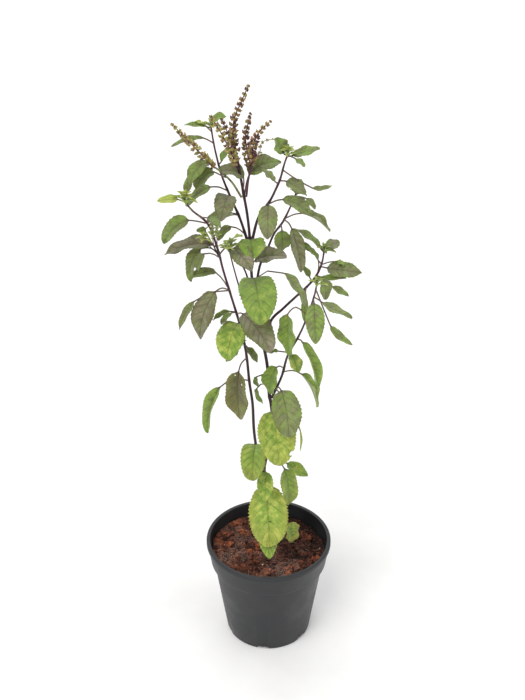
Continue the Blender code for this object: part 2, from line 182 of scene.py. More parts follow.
@dataclass(frozen=True)
class Finish:
    """A material made from nodes, with the values that are the same all over it."""

    name: str
    roughness: float
    ior: float = 1.45
    sheen: float = 0.0
    sheen_roughness: float = 0.5
    subsurface: float = 0.0
    subsurface_reach: float = 0.001

    def material(self) -> bpy.types.Material:
        """Return the material, made on the first call."""
        found = bpy.data.materials.get(self.name)
        if found:
            return found
        made = bpy.data.materials.new(self.name)
        made.use_nodes = True
        tree = made.node_tree
        shader = tree.nodes["Principled BSDF"]
        shader.inputs["Roughness"].default_value = self.roughness
        shader.inputs["IOR"].default_value = self.ior
        shader.inputs["Sheen Weight"].default_value = self.sheen
        shader.inputs["Sheen Roughness"].default_value = self.sheen_roughness
        shader.inputs["Subsurface Weight"].default_value = self.subsurface
        shader.inputs["Subsurface Scale"].default_value = self.subsurface_reach
        self.pattern(tree, shader)
        return made

    def pattern(self, tree: bpy.types.NodeTree, shader: bpy.types.Node) -> None:
        """Lay the nodes that vary over the surface.

        Args:
            tree: the material's node tree.
            shader: its Principled shader.
        """
        raise NotImplementedError

    def grain(self, tree: bpy.types.NodeTree, width_mm: float, detail: float = 3.0,
              stretch: Sequence[float] = (1.0, 1.0, 1.0)) -> bpy.types.NodeSocket:
        """Noise on the object's own coordinates.

        Args:
            tree: the material's node tree.
            width_mm: the width of one lump, in millimetres.
            detail: how many finer layers it has.
            stretch: how much longer a lump is along X, Y and Z.

        Returns:
            The noise's value, about 0.2 to 0.8.
        """
        place = add(tree, "TexCoord").outputs["Object"]
        scale = tuple(1000.0 / (width_mm * way) for way in stretch)
        turned = add(tree, "Mapping", {"Vector": place, "Scale": scale}).outputs["Vector"]
        return add(tree, "TexNoise", {"Vector": turned, "Scale": 1.0, "Detail": detail,
                                      "Roughness": 0.55}).outputs["Fac"]

    def channels(self, tree: bpy.types.NodeTree, name: str) -> bpy.types.NodeOutputs:
        """The red, green and blue parts of one of the mesh's colour attributes."""
        own = add(tree, "Attribute", attribute_name=name).outputs["Color"]
        return add(tree, "SeparateColor", {"Color": own}).outputs

    def mix(self, tree: bpy.types.NodeTree, factor: object, first: object,
            second: object) -> bpy.types.NodeSocket:
        """Mix two colours.

        Args:
            tree: the material's node tree.
            factor: the share of the second, as a value or a socket.
            first: a colour or the socket that gives it.
            second: a colour or the socket that gives it.

        Returns:
            The mixed colour.
        """
        made = add(tree, "Mix", {MIX_FACTOR: factor, MIX_FIRST: first, MIX_SECOND: second},
                   data_type="RGBA")
        return made.outputs[MIX_RESULT]

    def between(self, tree: bpy.types.NodeTree, value: object, low: float, high: float,
                start: float = 0.0, end: float = 1.0) -> bpy.types.NodeSocket:
        """Turn a value's range into another with a smooth step.

        Args:
            tree: the material's node tree.
            value: the socket or number to turn.
            low: the value that gives start.
            high: the value that gives end.
            start: the result at low.
            end: the result at high.

        Returns:
            The turned value.
        """
        made = add(tree, "MapRange", {"Value": value, "From Min": low, "From Max": high,
                                      "To Min": start, "To Max": end},
                   interpolation_type="SMOOTHSTEP")
        return made.outputs["Result"]

    def sum(self, tree: bpy.types.NodeTree, operation: str, first: object,
            second: object = 0.0) -> bpy.types.NodeSocket:
        """Combine two values.

        Args:
            tree: the material's node tree.
            operation: the sum to do, such as ADD or MULTIPLY.
            first: a number or a socket.
            second: a number or a socket.

        Returns:
            The result.
        """
        return add(tree, "Math", {0: first, 1: second}, operation=operation).outputs["Value"]

    def emboss(self, tree: bpy.types.NodeTree, shader: bpy.types.Node, height: object,
               depth_mm: float) -> None:
        """Give the surface a fine relief.

        Args:
            tree: the material's node tree.
            shader: its Principled shader.
            height: the socket that gives the relief, 0 to 1.
            depth_mm: how deep it is.
        """
        bump = add(tree, "Bump", {"Height": height, "Distance": depth_mm * MM, "Strength": 1.0})
        tree.links.new(bump.outputs["Normal"], shader.inputs["Normal"])


@dataclass(frozen=True)
class MouldedPolypropylene(Finish):
    """Black recycled polypropylene, injection moulded: a dull skin with faint flow and dust."""

    body: Colour = shade("#191B1D")
    dust: Colour = shade("#303235")

    def pattern(self, tree: bpy.types.NodeTree, shader: bpy.types.Node) -> None:
        """Lay a fine moulded texture, and dust in broad faint patches."""
        patches = self.grain(tree, 28.0, 4.0)
        specks = self.grain(tree, 0.9, 2.0)
        dusty = self.between(tree, patches, 0.42, 0.72, 0.0, 0.35)
        speckled = self.between(tree, specks, 0.6, 0.75, 0.0, 0.25)
        colour = self.mix(tree, dusty, self.body, self.dust)
        colour = self.mix(tree, speckled, colour, self.dust)
        tree.links.new(colour, shader.inputs["Base Color"])
        rough = self.between(tree, patches, 0.3, 0.7, self.roughness - 0.06,
                             self.roughness + 0.1)
        tree.links.new(rough, shader.inputs["Roughness"])
        self.emboss(tree, shader, specks, 0.05)


@dataclass(frozen=True)
class RedEarth(Finish):
    """Damp red earth with coco peat: matt crumbs from orange-brown to nearly black."""

    pale: Colour = shade("#94502F")
    middle: Colour = shade("#5E3424")
    dark: Colour = shade("#24130E")
    mould: Colour = shade("#A08578")

    def pattern(self, tree: bpy.types.NodeTree, shader: bpy.types.Node) -> None:
        """Vary the tint, which holds each crumb's own tone and painted shade in the hollows and
        dents, with finer and coarser patches.
        """
        own = add(tree, "Attribute", attribute_name="tint").outputs["Fac"]
        coarse = self.grain(tree, 9.0, 5.0)
        fine = self.grain(tree, 1.2, 3.0)
        value = self.sum(tree, "SUBTRACT", self.sum(tree, "MULTIPLY", coarse, 0.9), 0.45)
        # The tint carries painted shade in the hollows and in the crumbs' dents.
        value = self.sum(tree, "ADD", value, own)
        value = self.sum(tree, "ADD", value, self.between(tree, fine, 0.3, 0.7, -0.16, 0.16))
        colour = self.mix(tree, self.between(tree, value, 0.15, 0.5), self.dark, self.middle)
        colour = self.mix(tree, self.between(tree, value, 0.55, 0.95), colour, self.pale)
        # A grey bloom of mould and salts lies on the drier patches.
        bloom = self.between(tree, self.grain(tree, 30.0, 4.0), 0.5, 0.66, 0.0, 0.5)
        bloom = self.sum(tree, "MULTIPLY", bloom, self.between(tree, fine, 0.4, 0.6))
        colour = self.mix(tree, bloom, colour, self.mould)
        tree.links.new(colour, shader.inputs["Base Color"])
        self.emboss(tree, shader, fine, 0.35)


@dataclass(frozen=True)
class DryFibre(Finish):
    """Coir and bits of lime in the soil: dull straw to off-white, a little streaked."""

    pale: Colour = shade("#B9A184")
    brown: Colour = shade("#6A4630")

    def pattern(self, tree: bpy.types.NodeTree, shader: bpy.types.Node) -> None:
        """Mix the two colours by each fibre's own tint, with fine streaks."""
        own = add(tree, "Attribute", attribute_name="tint").outputs["Fac"]
        fine = self.grain(tree, 1.5, 2.0)
        value = self.sum(tree, "ADD", own, self.between(tree, fine, 0.3, 0.7, -0.2, 0.2))
        tree.links.new(self.mix(tree, value, self.brown, self.pale), shader.inputs["Base Color"])


@dataclass(frozen=True)
class StemSkin(Finish):
    """Living basil stem: dark purple skin with a dull waxy gloss, greener at the young ends."""

    old: Colour = shade("#2A0E18")
    purple: Colour = shade("#55243A")
    young: Colour = shade("#8B9455")

    def pattern(self, tree: bpy.types.NodeTree, shader: bpy.types.Node) -> None:
        """Turn from old skin to young by the tint, with long streaks and fine down."""
        own = add(tree, "Attribute", attribute_name="tint").outputs["Fac"]
        streaks = self.grain(tree, 1.1, 3.0, (1.0, 1.0, 14.0))
        value = self.sum(tree, "ADD", own, self.between(tree, streaks, 0.3, 0.7, -0.16, 0.2))
        colour = self.mix(tree, self.between(tree, value, 0.0, 0.5), self.old, self.purple)
        colour = self.mix(tree, self.between(tree, value, 0.55, 1.0), colour, self.young)
        tree.links.new(colour, shader.inputs["Base Color"])
        self.emboss(tree, shader, streaks, 0.12)


@dataclass(frozen=True)
class CalyxPaper(Finish):
    """Calyces drying to paper: purple brown, straw and green, with paler mouths."""

    purple: Colour = shade("#5A2636")
    straw: Colour = shade("#A67F5C")
    green: Colour = shade("#B3B45E")
    mouth: Colour = shade("#BFAE62")

    def pattern(self, tree: bpy.types.NodeTree, shader: bpy.types.Node) -> None:
        """Take each calyx's colour from its tint, paler inside its mouth."""
        tint = self.channels(tree, "tint")
        fine = self.grain(tree, 1.0, 3.0)
        value = self.sum(tree, "ADD", tint["Red"],
                         self.between(tree, fine, 0.3, 0.7, -0.14, 0.14))
        colour = self.mix(tree, self.between(tree, value, 0.15, 0.5), self.purple, self.straw)
        colour = self.mix(tree, self.between(tree, value, 0.6, 0.9), colour, self.green)
        inside = self.sum(tree, "MULTIPLY", tint["Green"], tint["Blue"])
        colour = self.mix(tree, inside, colour, self.mouth)
        tree.links.new(colour, shader.inputs["Base Color"])
        self.emboss(tree, shader, fine, 0.2)


@dataclass(frozen=True)
class LeafBlade(Finish):
    """Soft hairy basil leaf: quilted between its veins, greener or more mauve with its age; its
    mauve-grey bloom is partly its own tint and partly a painted sheen of its hairs, and painted
    shade darkens its margin.
    """

    youngest: Colour = shade("#C4D262")
    fresh: Colour = shade("#84A63A")
    ripe: Colour = shade("#6F7E38")
    oldest: Colour = shade("#5C5A2C")
    # A light mauve-grey: partly the leaf's own tint, partly a painted sheen of its hairs.
    mauve_and_sheen: Colour = shade("#A39A86")
    yellow: Colour = shade("#B4AE48")
    vein: Colour = shade("#55602A")
    stalk: Colour = shade("#62423F")
    vein_share: float = 0.24
    # How far painted shade darkens the margin of a riper leaf.
    margin_shade_share: float = 0.5

    def pattern(self, tree: bpy.types.NodeTree, shader: bpy.types.Node) -> None:
        """Draw the blade's age, mauve bloom with its painted sheen, yellowing, veins, fine net,
        painted shade at the margin, and stalk.
        """
        tint, blade = self.channels(tree, "tint"), self.channels(tree, "blade")
        along, side = blade["Red"], blade["Green"]
        phase = self.sum(tree, "MULTIPLY", blade["Blue"], VEIN_CODE)
        way = self.sum(tree, "PINGPONG", phase, 0.5)
        lateral = self.between(tree, way, 0.02, 0.09, 1.0, 0.0)
        lateral = self.sum(tree, "MULTIPLY", lateral, self.between(tree, side, 0.6, 1.0, 1.0, 0.2))
        rib = self.between(tree, side, 0.015, 0.06, 1.0, 0.0)
        veins = self.sum(tree, "MAXIMUM", lateral, rib)
        patches = self.grain(tree, 7.0, 4.0)
        age = self.sum(tree, "ADD", tint["Red"],
                       self.between(tree, patches, 0.25, 0.75, -0.22, 0.22))
        colour = self.mix(tree, self.between(tree, age, 0.0, 0.35), self.youngest, self.fresh)
        colour = self.mix(tree, self.between(tree, age, 0.35, 0.7), colour, self.ripe)
        colour = self.mix(tree, self.between(tree, age, 0.7, 1.0), colour, self.oldest)
        dry = self.sum(tree, "MULTIPLY", tint["Blue"],
                       self.between(tree, self.sum(tree, "MAXIMUM", along, side), 0.35, 1.0))
        colour = self.mix(tree, dry, colour, self.yellow)
        # The mauve bloom is partly the leaf's own tint and partly a painted sheen of its hairs,
        # weaker at the margin and on the veins.
        bloom = self.sum(tree, "MULTIPLY", tint["Green"],
                         self.between(tree, self.grain(tree, 13.0, 3.0), 0.32, 0.6, 0.3, 1.0))
        bloom = self.sum(tree, "MULTIPLY", bloom, self.between(tree, side, 0.55, 1.0, 1.0, 0.35))
        bloom = self.sum(tree, "MULTIPLY", bloom, self.between(tree, veins, 0.0, 1.0, 1.0, 0.6))
        colour = self.mix(tree, bloom, colour, self.mauve_and_sheen)
        colour = self.mix(tree, self.sum(tree, "MULTIPLY", veins, self.vein_share), colour,
                          self.vein)
        # Painted shade: the margin of a riper leaf is darkened towards the oldest colour.
        edge = self.between(tree, side, 0.86, 1.0, 0.0, self.margin_shade_share)
        edge = self.sum(tree, "MULTIPLY", edge, self.between(tree, age, 0.3, 0.7))
        colour = self.mix(tree, edge, colour, self.oldest)
        place = add(tree, "TexCoord").outputs["Object"]
        # The finest veins lie about 1.5 mm apart.
        net = add(tree, "TexVoronoi", {"Vector": place, "Scale": 650.0},
                  feature="DISTANCE_TO_EDGE").outputs["Distance"]
        cells = self.between(tree, net, 0.0, 0.25)
        dark = self.sum(tree, "MULTIPLY", self.sum(tree, "SUBTRACT", 1.0, cells), 0.2)
        colour = self.mix(tree, dark, colour, self.vein)
        stem_end = self.between(tree, along, 0.0, 0.1, 0.85, 0.0)
        stem_end = self.sum(tree, "MAXIMUM", stem_end, self.sum(
            tree, "MULTIPLY", rib, self.between(tree, along, 0.1, 0.6, 0.55, 0.0)))
        stem_end = self.sum(tree, "MULTIPLY", stem_end,
                            self.between(tree, tint["Red"], 0.0, 0.45, 0.35, 1.0))
        colour = self.mix(tree, stem_end, colour, self.stalk)
        tree.links.new(colour, shader.inputs["Base Color"])
        height = self.sum(tree, "SUBTRACT", cells, self.sum(tree, "MULTIPLY", veins, 1.5))
        self.emboss(tree, shader, height, 0.28)


@dataclass(frozen=True)
class PaintedBoard(Finish):
    """The pale floor: matt white paint, a touch uneven."""

    white: Colour = shade("#F6F5F3")
    worn: Colour = shade("#F2F1EF")

    def pattern(self, tree: bpy.types.NodeTree, shader: bpy.types.Node) -> None:
        """Cloud the white very slightly."""
        clouds = self.between(tree, self.grain(tree, 60.0, 3.0), 0.3, 0.7)
        tree.links.new(self.mix(tree, clouds, self.white, self.worn),
                       shader.inputs["Base Color"])


# The blade attribute holds a vein's number plus VEIN_SHIFT, divided by VEIN_CODE.
VEIN_CODE = 16.0
VEIN_SHIFT = 4

POT_PLASTIC = MouldedPolypropylene("moulded_polypropylene", 0.46, 1.49)
EARTH = RedEarth("red_earth", 0.95, 1.4)
FIBRE = DryFibre("dry_fibre", 0.9, 1.4)
STEM_SKIN = StemSkin("stem_skin", 0.5, 1.45, 0.25, 0.4)
CALYX = CalyxPaper("calyx_paper", 0.75, 1.45, 0.2, 0.5)
# On both sides the mauve colour stands for the leaf's own mauve-grey tint together with a painted
# sheen of its hairs.
LEAF_FACE = LeafBlade("leaf_face", 0.56, 1.42, 0.22, 0.45, 0.12, 0.0012)
LEAF_BACK = LeafBlade("leaf_back", 0.7, 1.42, 0.3, 0.5, 0.12, 0.0012,
                      youngest=shade("#BECB74"), fresh=shade("#9CB061"), ripe=shade("#8F9A62"),
                      oldest=shade("#85825A"), mauve_and_sheen=shade("#A59A8C"), vein=shade("#C3CA98"),
                      vein_share=0.45)
FLOOR_PAINT = PaintedBoard("painted_board", 0.8)


# The plant's tables


@dataclass(frozen=True)
class StemShape:
    """A stem: its parent, the height where it leaves it, its radii and its route."""

    parent: str
    height: float
    base: float
    tip: float
    route: tuple[tuple[float, float, float], ...]
    youth: float = 0.25


@dataclass(frozen=True)
class SpikeShape:
    """A flower spike: its stalk, its bare length, and how purple, straw and green it is."""

    stalk: StemShape
    bare: float
    purple: float
    straw: float
    reach: float = 4.1


@dataclass(frozen=True)
class Wound:
    """A hole or bite in a blade: its place along and across, and its radius in millimetres."""

    along: float
    across: float
    radius: float


@dataclass(frozen=True)
class LeafShape:
    """A leaf: where it grows and points, how it bends, how blunt it ends, and its colouring."""

    stem: str
    height: float
    heading: float
    petiole: float
    length: float
    width: float
    rise: float
    dip: float
    droop: float
    roll: float = 0.0
    fold: float = 15.0
    ripe: float = 0.5
    # How much mauve-grey cast the blade takes: partly its own tint, partly painted sheen.
    mauve_and_sheen: float = 0.2
    wounds: tuple[Wound, ...] = ()
    blunt: float = 0.35
    yellow: float = 0.0


STEMS: dict[str, StemShape] = {
    "stem_main": StemShape("", 0, 2.1, 1.2, (
        (-2, 0, 0), (-4, 0, 50), (-5, 0, 101), (0, 0, 136), (3, 0, 170), (0, 0, 194), (-2, 0, 226),
        (-7, 0, 255), (-12, 0, 284), (-15, 0, 305), (-17, 0, 332), (-18, 0, 360), (-20, 0, 381),
        (-23, 0, 400), (-26, 0, 419), (-28, 0, 432)), 0.1),
    "stem_left": StemShape("stem_main", 100, 1.5, 0.9, (
        (-13, -2, 134), (-15, -3, 155), (-16, -5, 184), (-19, -6, 210), (-21, -8, 236),
        (-24, -9, 258), (-29, -11, 282), (-36, -13, 310), (-42, -14, 334), (-46, -16, 354),
        (-54, -18, 379), (-67, -19, 392), (-74, -20, 402)), 0.75),
    "branch_right_low": StemShape("stem_main", 190, 1.2, 0.7, (
        (12, -8, 218), (17, -15, 244), (26, -23, 268), (32, -30, 288), (39, -40, 319),
        (41, -45, 334)), 0.4),
    "branch_right_mid": StemShape("stem_main", 252, 1.4, 0.8, (
        (2, 6, 271), (13, 10, 281), (25, 15, 291), (35, 19, 299), (44, 23, 309), (49, 27, 320),
        (51, 30, 331)), 0.5),
    "branch_left_mid": StemShape("stem_main", 256, 0.9, 0.6, (
        (-20, -4, 287), (-27, -7, 310), (-32, -9, 331), (-36, -12, 351)), 0.6),
    "branch_left_inner": StemShape("stem_main", 304, 0.9, 0.6, (
        (-22, 8, 320), (-29, 14, 331), (-36, 20, 341)), 0.6),
    "branch_right_high": StemShape("stem_main", 302, 1.3, 0.8, (
        (-9, 7, 326), (-2, 12, 341), (4, 17, 354), (12, 21, 364), (19, 26, 377),
        (24, 30, 388)), 0.4),
    "branch_left_top": StemShape("stem_main", 357, 1.3, 0.7, (
        (-26, 3, 374), (-31, 5, 386), (-37, 7, 400), (-43, 10, 416), (-48, 13, 437),
        (-51, 15, 456)), 0.45),
    "branch_right_top": StemShape("stem_main", 357, 1.3, 0.7, (
        (-10, -6, 380), (0, -9, 397), (5, -12, 409), (9, -14, 420), (12, -18, 434),
        (15, -20, 444)), 0.45),
}

SPIKES: dict[str, SpikeShape] = {
    "spike_centre": SpikeShape(StemShape("stem_main", 432, 0.9, 0.4, (
        (-31, 0, 450), (-31, 0, 464), (-29, 0, 472), (-25, 0, 481), (-22, 0, 488),
        (-19, 0, 495))), 6, 0.6, 0.25),
    "spike_right": SpikeShape(StemShape("stem_main", 398, 1.0, 0.4, (
        (-19, -2, 412), (-17, 2, 425), (-20, 7, 438), (-21, 9, 450), (-19, 10, 460),
        (-17, 10, 468))), 28, 0.75, 0.2),
    "spike_dense": SpikeShape(StemShape("spike_right", 421, 0.8, 0.4, (
        (-15, -5, 436), (-14, -8, 449), (-9, -10, 460), (-1, -10, 468))), 12, 0.55, 0.35),
    "spike_bent": SpikeShape(StemShape("stem_main", 424, 0.8, 0.4, (
        (-32, -9, 439), (-36, -12, 449), (-42, -12, 461), (-49, -12, 473))), 8, 0.25, 0.45),
    "spike_purple": SpikeShape(StemShape("stem_main", 422, 0.8, 0.4, (
        (-33, 10, 439), (-36, 12, 450), (-41, 13, 462))), 8, 0.8, 0.15),
    "spike_left": SpikeShape(StemShape("stem_main", 398, 1.1, 0.4, (
        (-33, -3, 412), (-43, -5, 423), (-50, -6, 429), (-61, -8, 442), (-72, -10, 455),
        (-81, -12, 466))), 38, 0.1, 0.4),
}

# The thin young spike behind the right-hand ones has no solid of its own.
THIN_SPIKE = SpikeShape(StemShape("spike_right", 420, 0.5, 0.3, (
    (-15, 2, 428), (-9, 10, 434), (-8, 12, 441), (-3, 12, 445), (5, 12, 446))), 6, 0.1, 0.3, 2.0)

LEAVES: tuple[LeafShape, ...] = (
    # lowest leaves, over the soil
    LeafShape("stem_main", 41, -20, 22, 24, 21, 40, -45, -90, 20, 15, 0.25, 0.0, (), 0.8, 0.7),
    LeafShape("stem_main", 58, -84, 15, 41, 22, 5, -35, -50, 0, 15, 0.42, 0.0, (), 0.5, 0.1),
    LeafShape("stem_main", 97, -82, 11, 65, 41, 10, -41, -76, 0, 12, 0.24, 0.0,
              (Wound(0.58, 0.1, 1.2),), 1.0, 0.5),
    LeafShape("stem_main", 113, -90, 16, 30, 17, 35, -28, -62, 0, 15, 0.28, 0.0, (), 0.6),
    LeafShape("stem_main", 121, -36, 21, 44, 20, 20, -60, -94, 28, 20, 0.36, 0.1, (), 0.8, 0.3),
    LeafShape("stem_left", 129, -96, 12, 43, 26, 90, 40, -74, 0, 12, 0.32, 0.05, (), 1.0, 0.3),
    LeafShape("stem_main", 177, -80, 3, 55, 39, 26, -23, -62, 0, 14, 0.24, 0.0,
              (Wound(0.8, 0.9, 2.0),), 0.85, 0.3),
    LeafShape("branch_right_low", 201, -72, 16, 47, 29, 76, -12, -84, 10, 12, 0.5, 0.35, (), 0.9),
    # left stem, bottom to top
    LeafShape("stem_left", 212, -164, 27, 54, 18, 40, -48, -90, -30, 40, 0.42, 0.15),
    LeafShape("stem_left", 238, -123, 14, 56, 27, 10, -75, -100, 0, 15, 0.98, 0.05,
              (Wound(0.1, -0.4, 0.7), Wound(0.22, 0.5, 1.1)), 0.55, 0.3),
    LeafShape("stem_left", 274, -108, 5, 43, 27, 88, 35, -72, -5, 12, 0.26, 0.0, (), 0.9),
    LeafShape("stem_left", 287, -49, 7, 47, 28, 50, 0, -48, 15, 15, 0.8, 0.7, (), 0.6),
    LeafShape("stem_left", 313, -144, 13, 49, 23, 55, -30, -88, -20, 15, 0.9, 0.5),
    LeafShape("stem_left", 349, -178, 16, 36, 14, 75, -25, -100, -45, 15, 0.7, 0.1),
    LeafShape("stem_left", 357, 174, 2, 46, 20, 50, 20, -35, -15, 15, 0.85, 0.6),
    LeafShape("stem_left", 381, -165, 14, 32, 17, 26, 10, -70, -40, 30, 0.6, 0.25),
    # right lower branch
    LeafShape("branch_right_low", 224, -13, 15, 40, 16, 35, -35, -82, 0, 40, 0.45, 0.1),
    LeafShape("branch_right_low", 228, -165, 6, 31, 19, 85, -35, -105, -30, 12, 0.36, 0.0,
              (), 0.9),
    LeafShape("branch_right_low", 249, -60, 2, 18, 14, 20, -20, -60, 0, 15, 0.2, 0.1, (), 0.9),
    LeafShape("branch_right_low", 267, -34, 3, 50, 18, 25, -53, -74, 0, 35, 0.4, 0.1),
    LeafShape("branch_right_low", 296, 155, 22, 44, 22, 70, -85, -96, -70, 12, 0.34, 0.0, (), 0.7),
    LeafShape("branch_right_low", 317, -86, 4, 37, 18, 8, -33, -77, 0, 15, 0.45, 0.3),
    LeafShape("branch_right_low", 319, -30, 7, 31, 13, -25, -25, -8, 0, 15, 0.55, 0.3),
    # right middle branch
    LeafShape("branch_right_mid", 309, -52, 7, 21, 15, 30, -34, -104, 0, 15, 0.55, 0.3),
    LeafShape("branch_right_mid", 317, -20, 4, 34, 18, -8, 0, 1, 40, 15, 0.6, 0.45),
    LeafShape("branch_right_mid", 330, 40, 2, 18, 12, 55, 48, -14, 30, 15, 0.55, 0.65),
    LeafShape("branch_right_mid", 330, 155, 4, 32, 12, 60, 53, 12, 0, 15, 0.5, 0.2),
    # middle of the plant, round the main stem
    LeafShape("stem_main", 313, -81, 10, 54, 36, 90, 25, -60, 0, 15, 0.38, 0.1, (), 0.7),
    LeafShape("stem_main", 332, -25, 4, 34, 18, 80, 50, 0, 30, 15, 0.75, 0.8),
    LeafShape("stem_main", 356, -84, 6, 23, 26, 55, 12, -42, 0, 15, 0.36, 0.0, (), 0.7),
    LeafShape("branch_left_mid", 351, -50, 4, 31, 19, 90, 15, -47, 20, 15, 0.8, 0.7),
    # right upper branches
    LeafShape("branch_right_high", 361, -82, 7, 21, 16, 38, -55, -110, 0, 15, 0.55, 0.35),
    LeafShape("branch_right_high", 366, -54, 10, 42, 15, 2, -50, -78, 10, 25, 0.75, 0.55),
    LeafShape("branch_right_high", 368, -7, 14, 32, 14, 43, 2, -52, 0, 40, 0.6, 0.3),
    LeafShape("branch_right_top", 395, -92, 2, 31, 18, 30, -22, -78, 0, 15, 0.65, 0.4),
    LeafShape("branch_right_top", 395, -6, 11, 32, 15, 43, 5, -48, 30, 15, 0.6, 0.35),
    LeafShape("branch_right_top", 418, -21, 4, 20, 16, 20, -10, -36, 20, 15, 0.7, 0.3),
    LeafShape("branch_right_top", 442, 165, 2, 15, 16, 36, 62, 64, -35, 15, 0.45, 0.3),
    LeafShape("branch_right_top", 442, 2, 3, 24, 11, 10, 20, 12, 30, 15, 0.5, 0.4),
    # left upper branches
    LeafShape("stem_main", 399, 28, 17, 35, 18, 95, 65, -21, 30, 15, 0.55, 0.4),
    LeafShape("branch_left_top", 394, -104, 4, 32, 20, 75, 30, -58, -10, 15, 0.8, 0.4),
    LeafShape("branch_left_top", 401, -171, 13, 29, 13, 45, -8, -52, -20, 15, 0.6, 0.2),
    LeafShape("spike_left", 418, -152, 12, 24, 15, 40, 30, -75, -20, 15, 0.7, 0.1),
)

# Side leaves too small for a solid of their own, grouped by the stem they grow from.
SIDE_LEAVES: tuple[LeafShape, ...] = (
    LeafShape("stem_main", 121, -21, 19, 25, 14, -5, -23, -24, 20, 15, 0.3, 0.0, (), 0.8),
    LeafShape("stem_main", 200, -160, 14, 20, 10, 110, -85, -120, -20, 15, 0.4, 0.0, (), 0.7),
    LeafShape("stem_main", 206, -165, 19, 12, 9, 150, -60, -110, -20, 15, 0.35, 0.0, (), 0.9),
    LeafShape("stem_main", 124, -130, 14, 13, 9, 60, -43, -85, 0, 15, 0.3, 0.0, (), 0.7),
    LeafShape("stem_main", 401, 190, 14, 25, 16, 120, 80, -15, -30, 15, 0.75, 0.45, (), 0.6),
    LeafShape("stem_main", 304, -15, 41, 42, 14, 112, -30, -72, 10, 20, 0.5, 0.4),
    LeafShape("stem_left", 252, -53, 2, 18, 9, -9, -23, -35, 0, 20, 0.6, 0.2),
    LeafShape("stem_left", 252, 100, 3, 16, 8, 30, -10, -50, 0, 20, 0.45, 0.1),
    LeafShape("stem_left", 261, -120, 11, 20, 9, -40, -33, 0, 0, 15, 0.45, 0.0),
    LeafShape("stem_left", 289, 186, 4, 18, 7, 31, 0, -45, -20, 20, 0.5, 0.1),
    LeafShape("stem_left", 289, -137, 4, 15, 8, 26, 5, -51, 0, 15, 0.55, 0.2),
    LeafShape("stem_left", 312, 197, 31, 32, 8, 13, -34, -75, -35, 15, 0.65, 0.2),
    LeafShape("stem_left", 316, 192, 17, 26, 10, 78, 42, -35, -30, 15, 0.7, 0.1),
    LeafShape("stem_left", 346, -143, 17, 18, 9, 59, 0, -100, -20, 15, 0.7, 0.2),
    LeafShape("stem_left", 402, 182, 4, 18, 9, 41, 13, -14, -35, 15, 0.12, 0.0),
    LeafShape("stem_left", 401, 76, 6, 19, 8, 55, 53, 32, 0, 15, 0.7, 0.1),
    LeafShape("stem_left", 385, -40, 6, 16, 10, 20, 5, -33, 0, 15, 0.6, 0.3),
    LeafShape("stem_left", 349, -30, 18, 15, 10, 58, 57, 15, 0, 15, 0.3, 0.0),
    LeafShape("stem_left", 349, 200, 23, 11, 10, 72, 62, 10, -20, 15, 0.62, 0.0, (), 0.6),
    LeafShape("branch_right_low", 327, -40, 32, 28, 8, -66, -58, -4, 20, 15, 0.5, 0.2),
    LeafShape("branch_right_low", 248, 180, 8, 9, 7, 10, 8, -24, 0, 15, 0.5, 0.0, (), 0.6),
    LeafShape("branch_right_low", 201, -43, 44, 25, 4, -20, -75, -95, 0, 40, 0.15, 0.0),
    LeafShape("branch_right_mid", 319, 157, 8, 22, 10, 58, 55, 17, 0, 15, 0.5, 0.2),
    LeafShape("branch_right_mid", 312, 160, 12, 16, 9, 120, 71, 29, 0, 15, 0.4, 0.2),
    LeafShape("branch_right_mid", 319, -20, 14, 8, 8, 40, 5, -37, 0, 15, 0.45, 0.1),
    LeafShape("branch_right_mid", 307, -2, 2, 26, 7, 17, 7, 0, 30, 20, 0.5, 0.1),
    LeafShape("branch_right_mid", 309, -19, 16, 18, 8, -33, -26, -23, 25, 15, 0.55, 0.2),
    LeafShape("branch_right_mid", 304, 139, 3, 14, 8, 58, 58, 33, 0, 15, 0.5, 0.2),
    LeafShape("branch_right_mid", 298, -95, 11, 24, 7, 11, -43, -90, 0, 15, 0.5, 0.1),
    LeafShape("branch_right_high", 386, -33, 10, 13, 7, 15, -10, -57, 20, 15, 0.6, 0.3),
    LeafShape("branch_right_top", 414, 150, 2, 16, 10, 38, 38, 34, 0, 15, 0.5, 0.3),
    LeafShape("branch_right_top", 428, 5, 29, 18, 6, -44, -26, 23, 25, 15, 0.6, 0.3),
    LeafShape("branch_right_top", 443, -39, 7, 11, 8, 4, -18, -29, 0, 15, 0.4, 0.2),
    LeafShape("branch_left_top", 456, 17, 4, 13, 11, 90, 70, -12, 15, 15, 0.5, 0.05),
    LeafShape("branch_left_top", 455, 182, 3, 19, 6, 36, 21, -4, -25, 15, 0.4, 0.2),
    LeafShape("branch_left_top", 442, 188, 8, 30, 7, 50, 20, -31, -25, 15, 0.65, 0.2),
    LeafShape("branch_left_top", 423, 31, 2, 15, 9, 53, 64, 56, 0, 15, 0.4, 0.1),
    LeafShape("branch_left_top", 452, 170, 7, 10, 7, 60, 42, 0, 0, 15, 0.2, 0.0),
    LeafShape("branch_left_top", 379, 190, 2, 29, 13, 40, -5, -35, 20, 15, 0.55, 0.5),
    LeafShape("branch_left_top", 380, -160, 14, 16, 9, 25, 0, -50, -20, 15, 0.6, 0.3),
    LeafShape("branch_left_top", 362, 205, 14, 18, 9, 67, 11, -70, -20, 15, 0.6, 0.3),
    LeafShape("spike_left", 427, 221, 9, 27, 14, 60, 30, -75, -20, 15, 0.6, 0.1),
)


